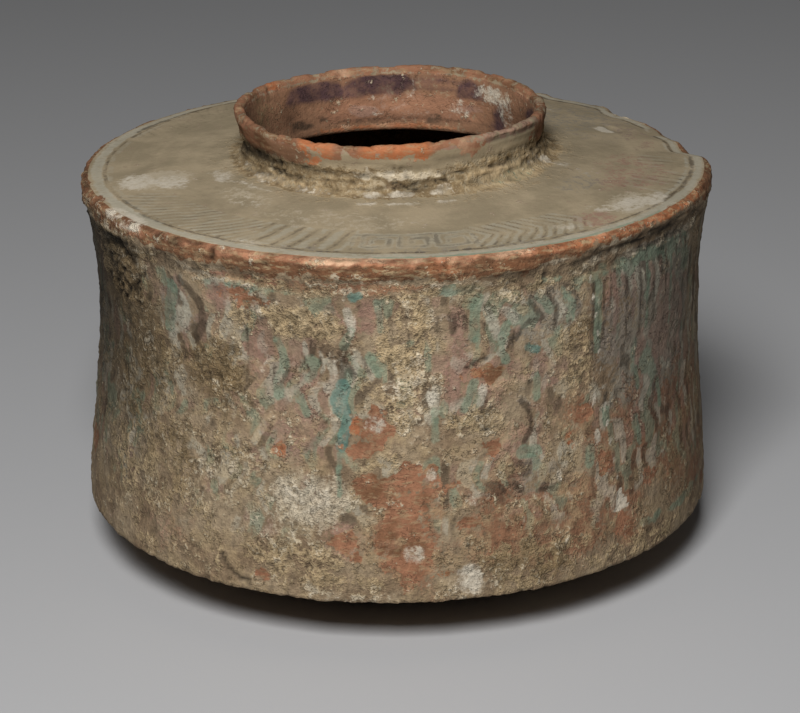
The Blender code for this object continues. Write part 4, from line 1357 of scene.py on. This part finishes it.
lime_lies = ease(plus(field("lime"), times(ragged_reach, 0.8)), 0.35, 1.1)
surface = cover(times(lime_lies, 0.85), surface, PIGMENTS["lime"])
print("layers wired:", len(tree.nodes), "nodes")

# %% Stains, painted shade, roughness and the finest relief
gritty = rest(times(field("slip"), 0.72))
sparkle = plus(about(speck, 1.15), about(grit, 0.8))
sparkle = times(sparkle, plus(0.5, times(field("crust"), 0.45)))
sparkle = plus(sparkle, about(streak, 0.35))
speckle = plus(1, times(sparkle, gritty))
# Tone lightens or darkens the colour, partly as painted light and shade; the next field darkens it as painted
# shade.
shade = plus(1, times(field("tone_and_painted_light"), 0.38))
shade = times(shade, rest(times(field("painted_shade"), 0.8)))
shade = maths("MAXIMUM", times(shade, speckle), 0.08)
plug(new_node("VectorMath", {0: surface, "Scale": shade}, operation="SCALE"), shader.inputs["Base Color"])

plug(plus(0.8, times(speck, 0.2)), shader.inputs["Roughness"])
shader.inputs["Metallic"].default_value = 0
shader.inputs["Specular IOR Level"].default_value = 0.18

fine_height = plus(about(speck, 0.85), about(grit, 1.25))
loose = times(gritty, plus(0.35, times(field("crust"), 0.75)))
fine_height = plus(times(fine_height, loose), times(crust_lies, 0.1))
fine_height = maths("SUBTRACT", fine_height, times(cracks, 0.3))
bump = new_node("Bump", {"Strength": 1, "Distance": 1 * MM, "Height": fine_height}, "Normal")
plug(bump, shader.inputs["Normal"])
canister_mesh.materials.append(clay_finish)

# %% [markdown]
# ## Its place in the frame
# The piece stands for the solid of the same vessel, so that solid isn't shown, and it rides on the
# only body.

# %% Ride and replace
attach(canister, "root")
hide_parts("canister")
print("rides on root:", canister.name)

# %% [markdown]
# ## Floor, light and camera
# A plain pale floor and soft studio light: a large panel in front and above, a little to the left,
# does nearly all the work, as in the photograph. The camera is long and looks down about 20 degrees.

# %% The floor
FLOOR_SIZE = 8.0
floor_mesh = bpy.data.meshes.new("studio_floor")
half = FLOOR_SIZE / 2
floor_corners = [(-half, -half, 0.0), (half, -half, 0.0), (half, half, 0.0), (-half, half, 0.0)]
floor_mesh.from_pydata(floor_corners, [], [(0, 1, 2, 3)])
floor = stand("studio_floor", floor_mesh)
floor_finish = bpy.data.materials.new("pale_floor")
floor_finish.use_nodes = True
floor_shader = floor_finish.node_tree.nodes["Principled BSDF"]
floor_shader.inputs["Base Color"].default_value = pigment(186, 186, 187)
floor_shader.inputs["Roughness"].default_value = 0.9
floor_mesh.materials.append(floor_finish)
print("floor, m:", FLOOR_SIZE, "by", FLOOR_SIZE)


# %% The lights
def soft_panel(name, place, target, size, power):
    """A square light panel that faces the target."""
    lamp = bpy.data.lights.new(name, "AREA")
    lamp.shape = "SQUARE"
    lamp.size = size
    lamp.energy = power
    panel = stand(name, lamp)
    direction = Vector(target) - Vector(place)
    panel.matrix_world = Matrix.Translation(place) @ direction.to_track_quat("-Z", "Y").to_matrix().to_4x4()


soft_panel("key_panel", (-0.12, -0.88, 0.86), (0, -0.02, 0.08), 0.36, 14.3)
world = bpy.data.worlds.new("studio_air")
world.use_nodes = True
world.node_tree.nodes["Background"].inputs["Color"].default_value = (1.0, 1.0, 1.0, 1.0)
world.node_tree.nodes["Background"].inputs["Strength"].default_value = 0.04
bpy.context.scene.world = world
bpy.context.scene.view_settings.view_transform = "Standard"
print("light panels:", len(bpy.data.lights))

# %% The camera
CAMERA_DISTANCE = 0.900
CAMERA_ELEVATION = math.radians(19.86)
CAMERA_ROLL = math.radians(-0.63)
TARGET_HEIGHT = 0.0536
SENSOR_WIDTH = 36.0
LENS = 137.32
AXIS_LEFT_OF_CENTRE = 3.0 / 800.0

view_rise = math.sin(CAMERA_ELEVATION)
view_reach = math.cos(CAMERA_ELEVATION)
camera_data = bpy.data.cameras.new("portrait_camera")
camera_data.sensor_width = SENSOR_WIDTH
camera_data.lens = LENS
camera_data.shift_x = AXIS_LEFT_OF_CENTRE
camera_data.clip_start = 0.01
camera = stand("portrait_camera", camera_data)
camera_place = Vector((0.0, -CAMERA_DISTANCE * view_reach, TARGET_HEIGHT + CAMERA_DISTANCE * view_rise))
upright = Matrix.Rotation(math.pi / 2 - CAMERA_ELEVATION, 4, "X")
camera.matrix_world = Matrix.Translation(camera_place) @ upright @ Matrix.Rotation(CAMERA_ROLL, 4, "Z")
bpy.context.scene.camera = camera
print("camera height, m:", round(camera_place.z, 3))
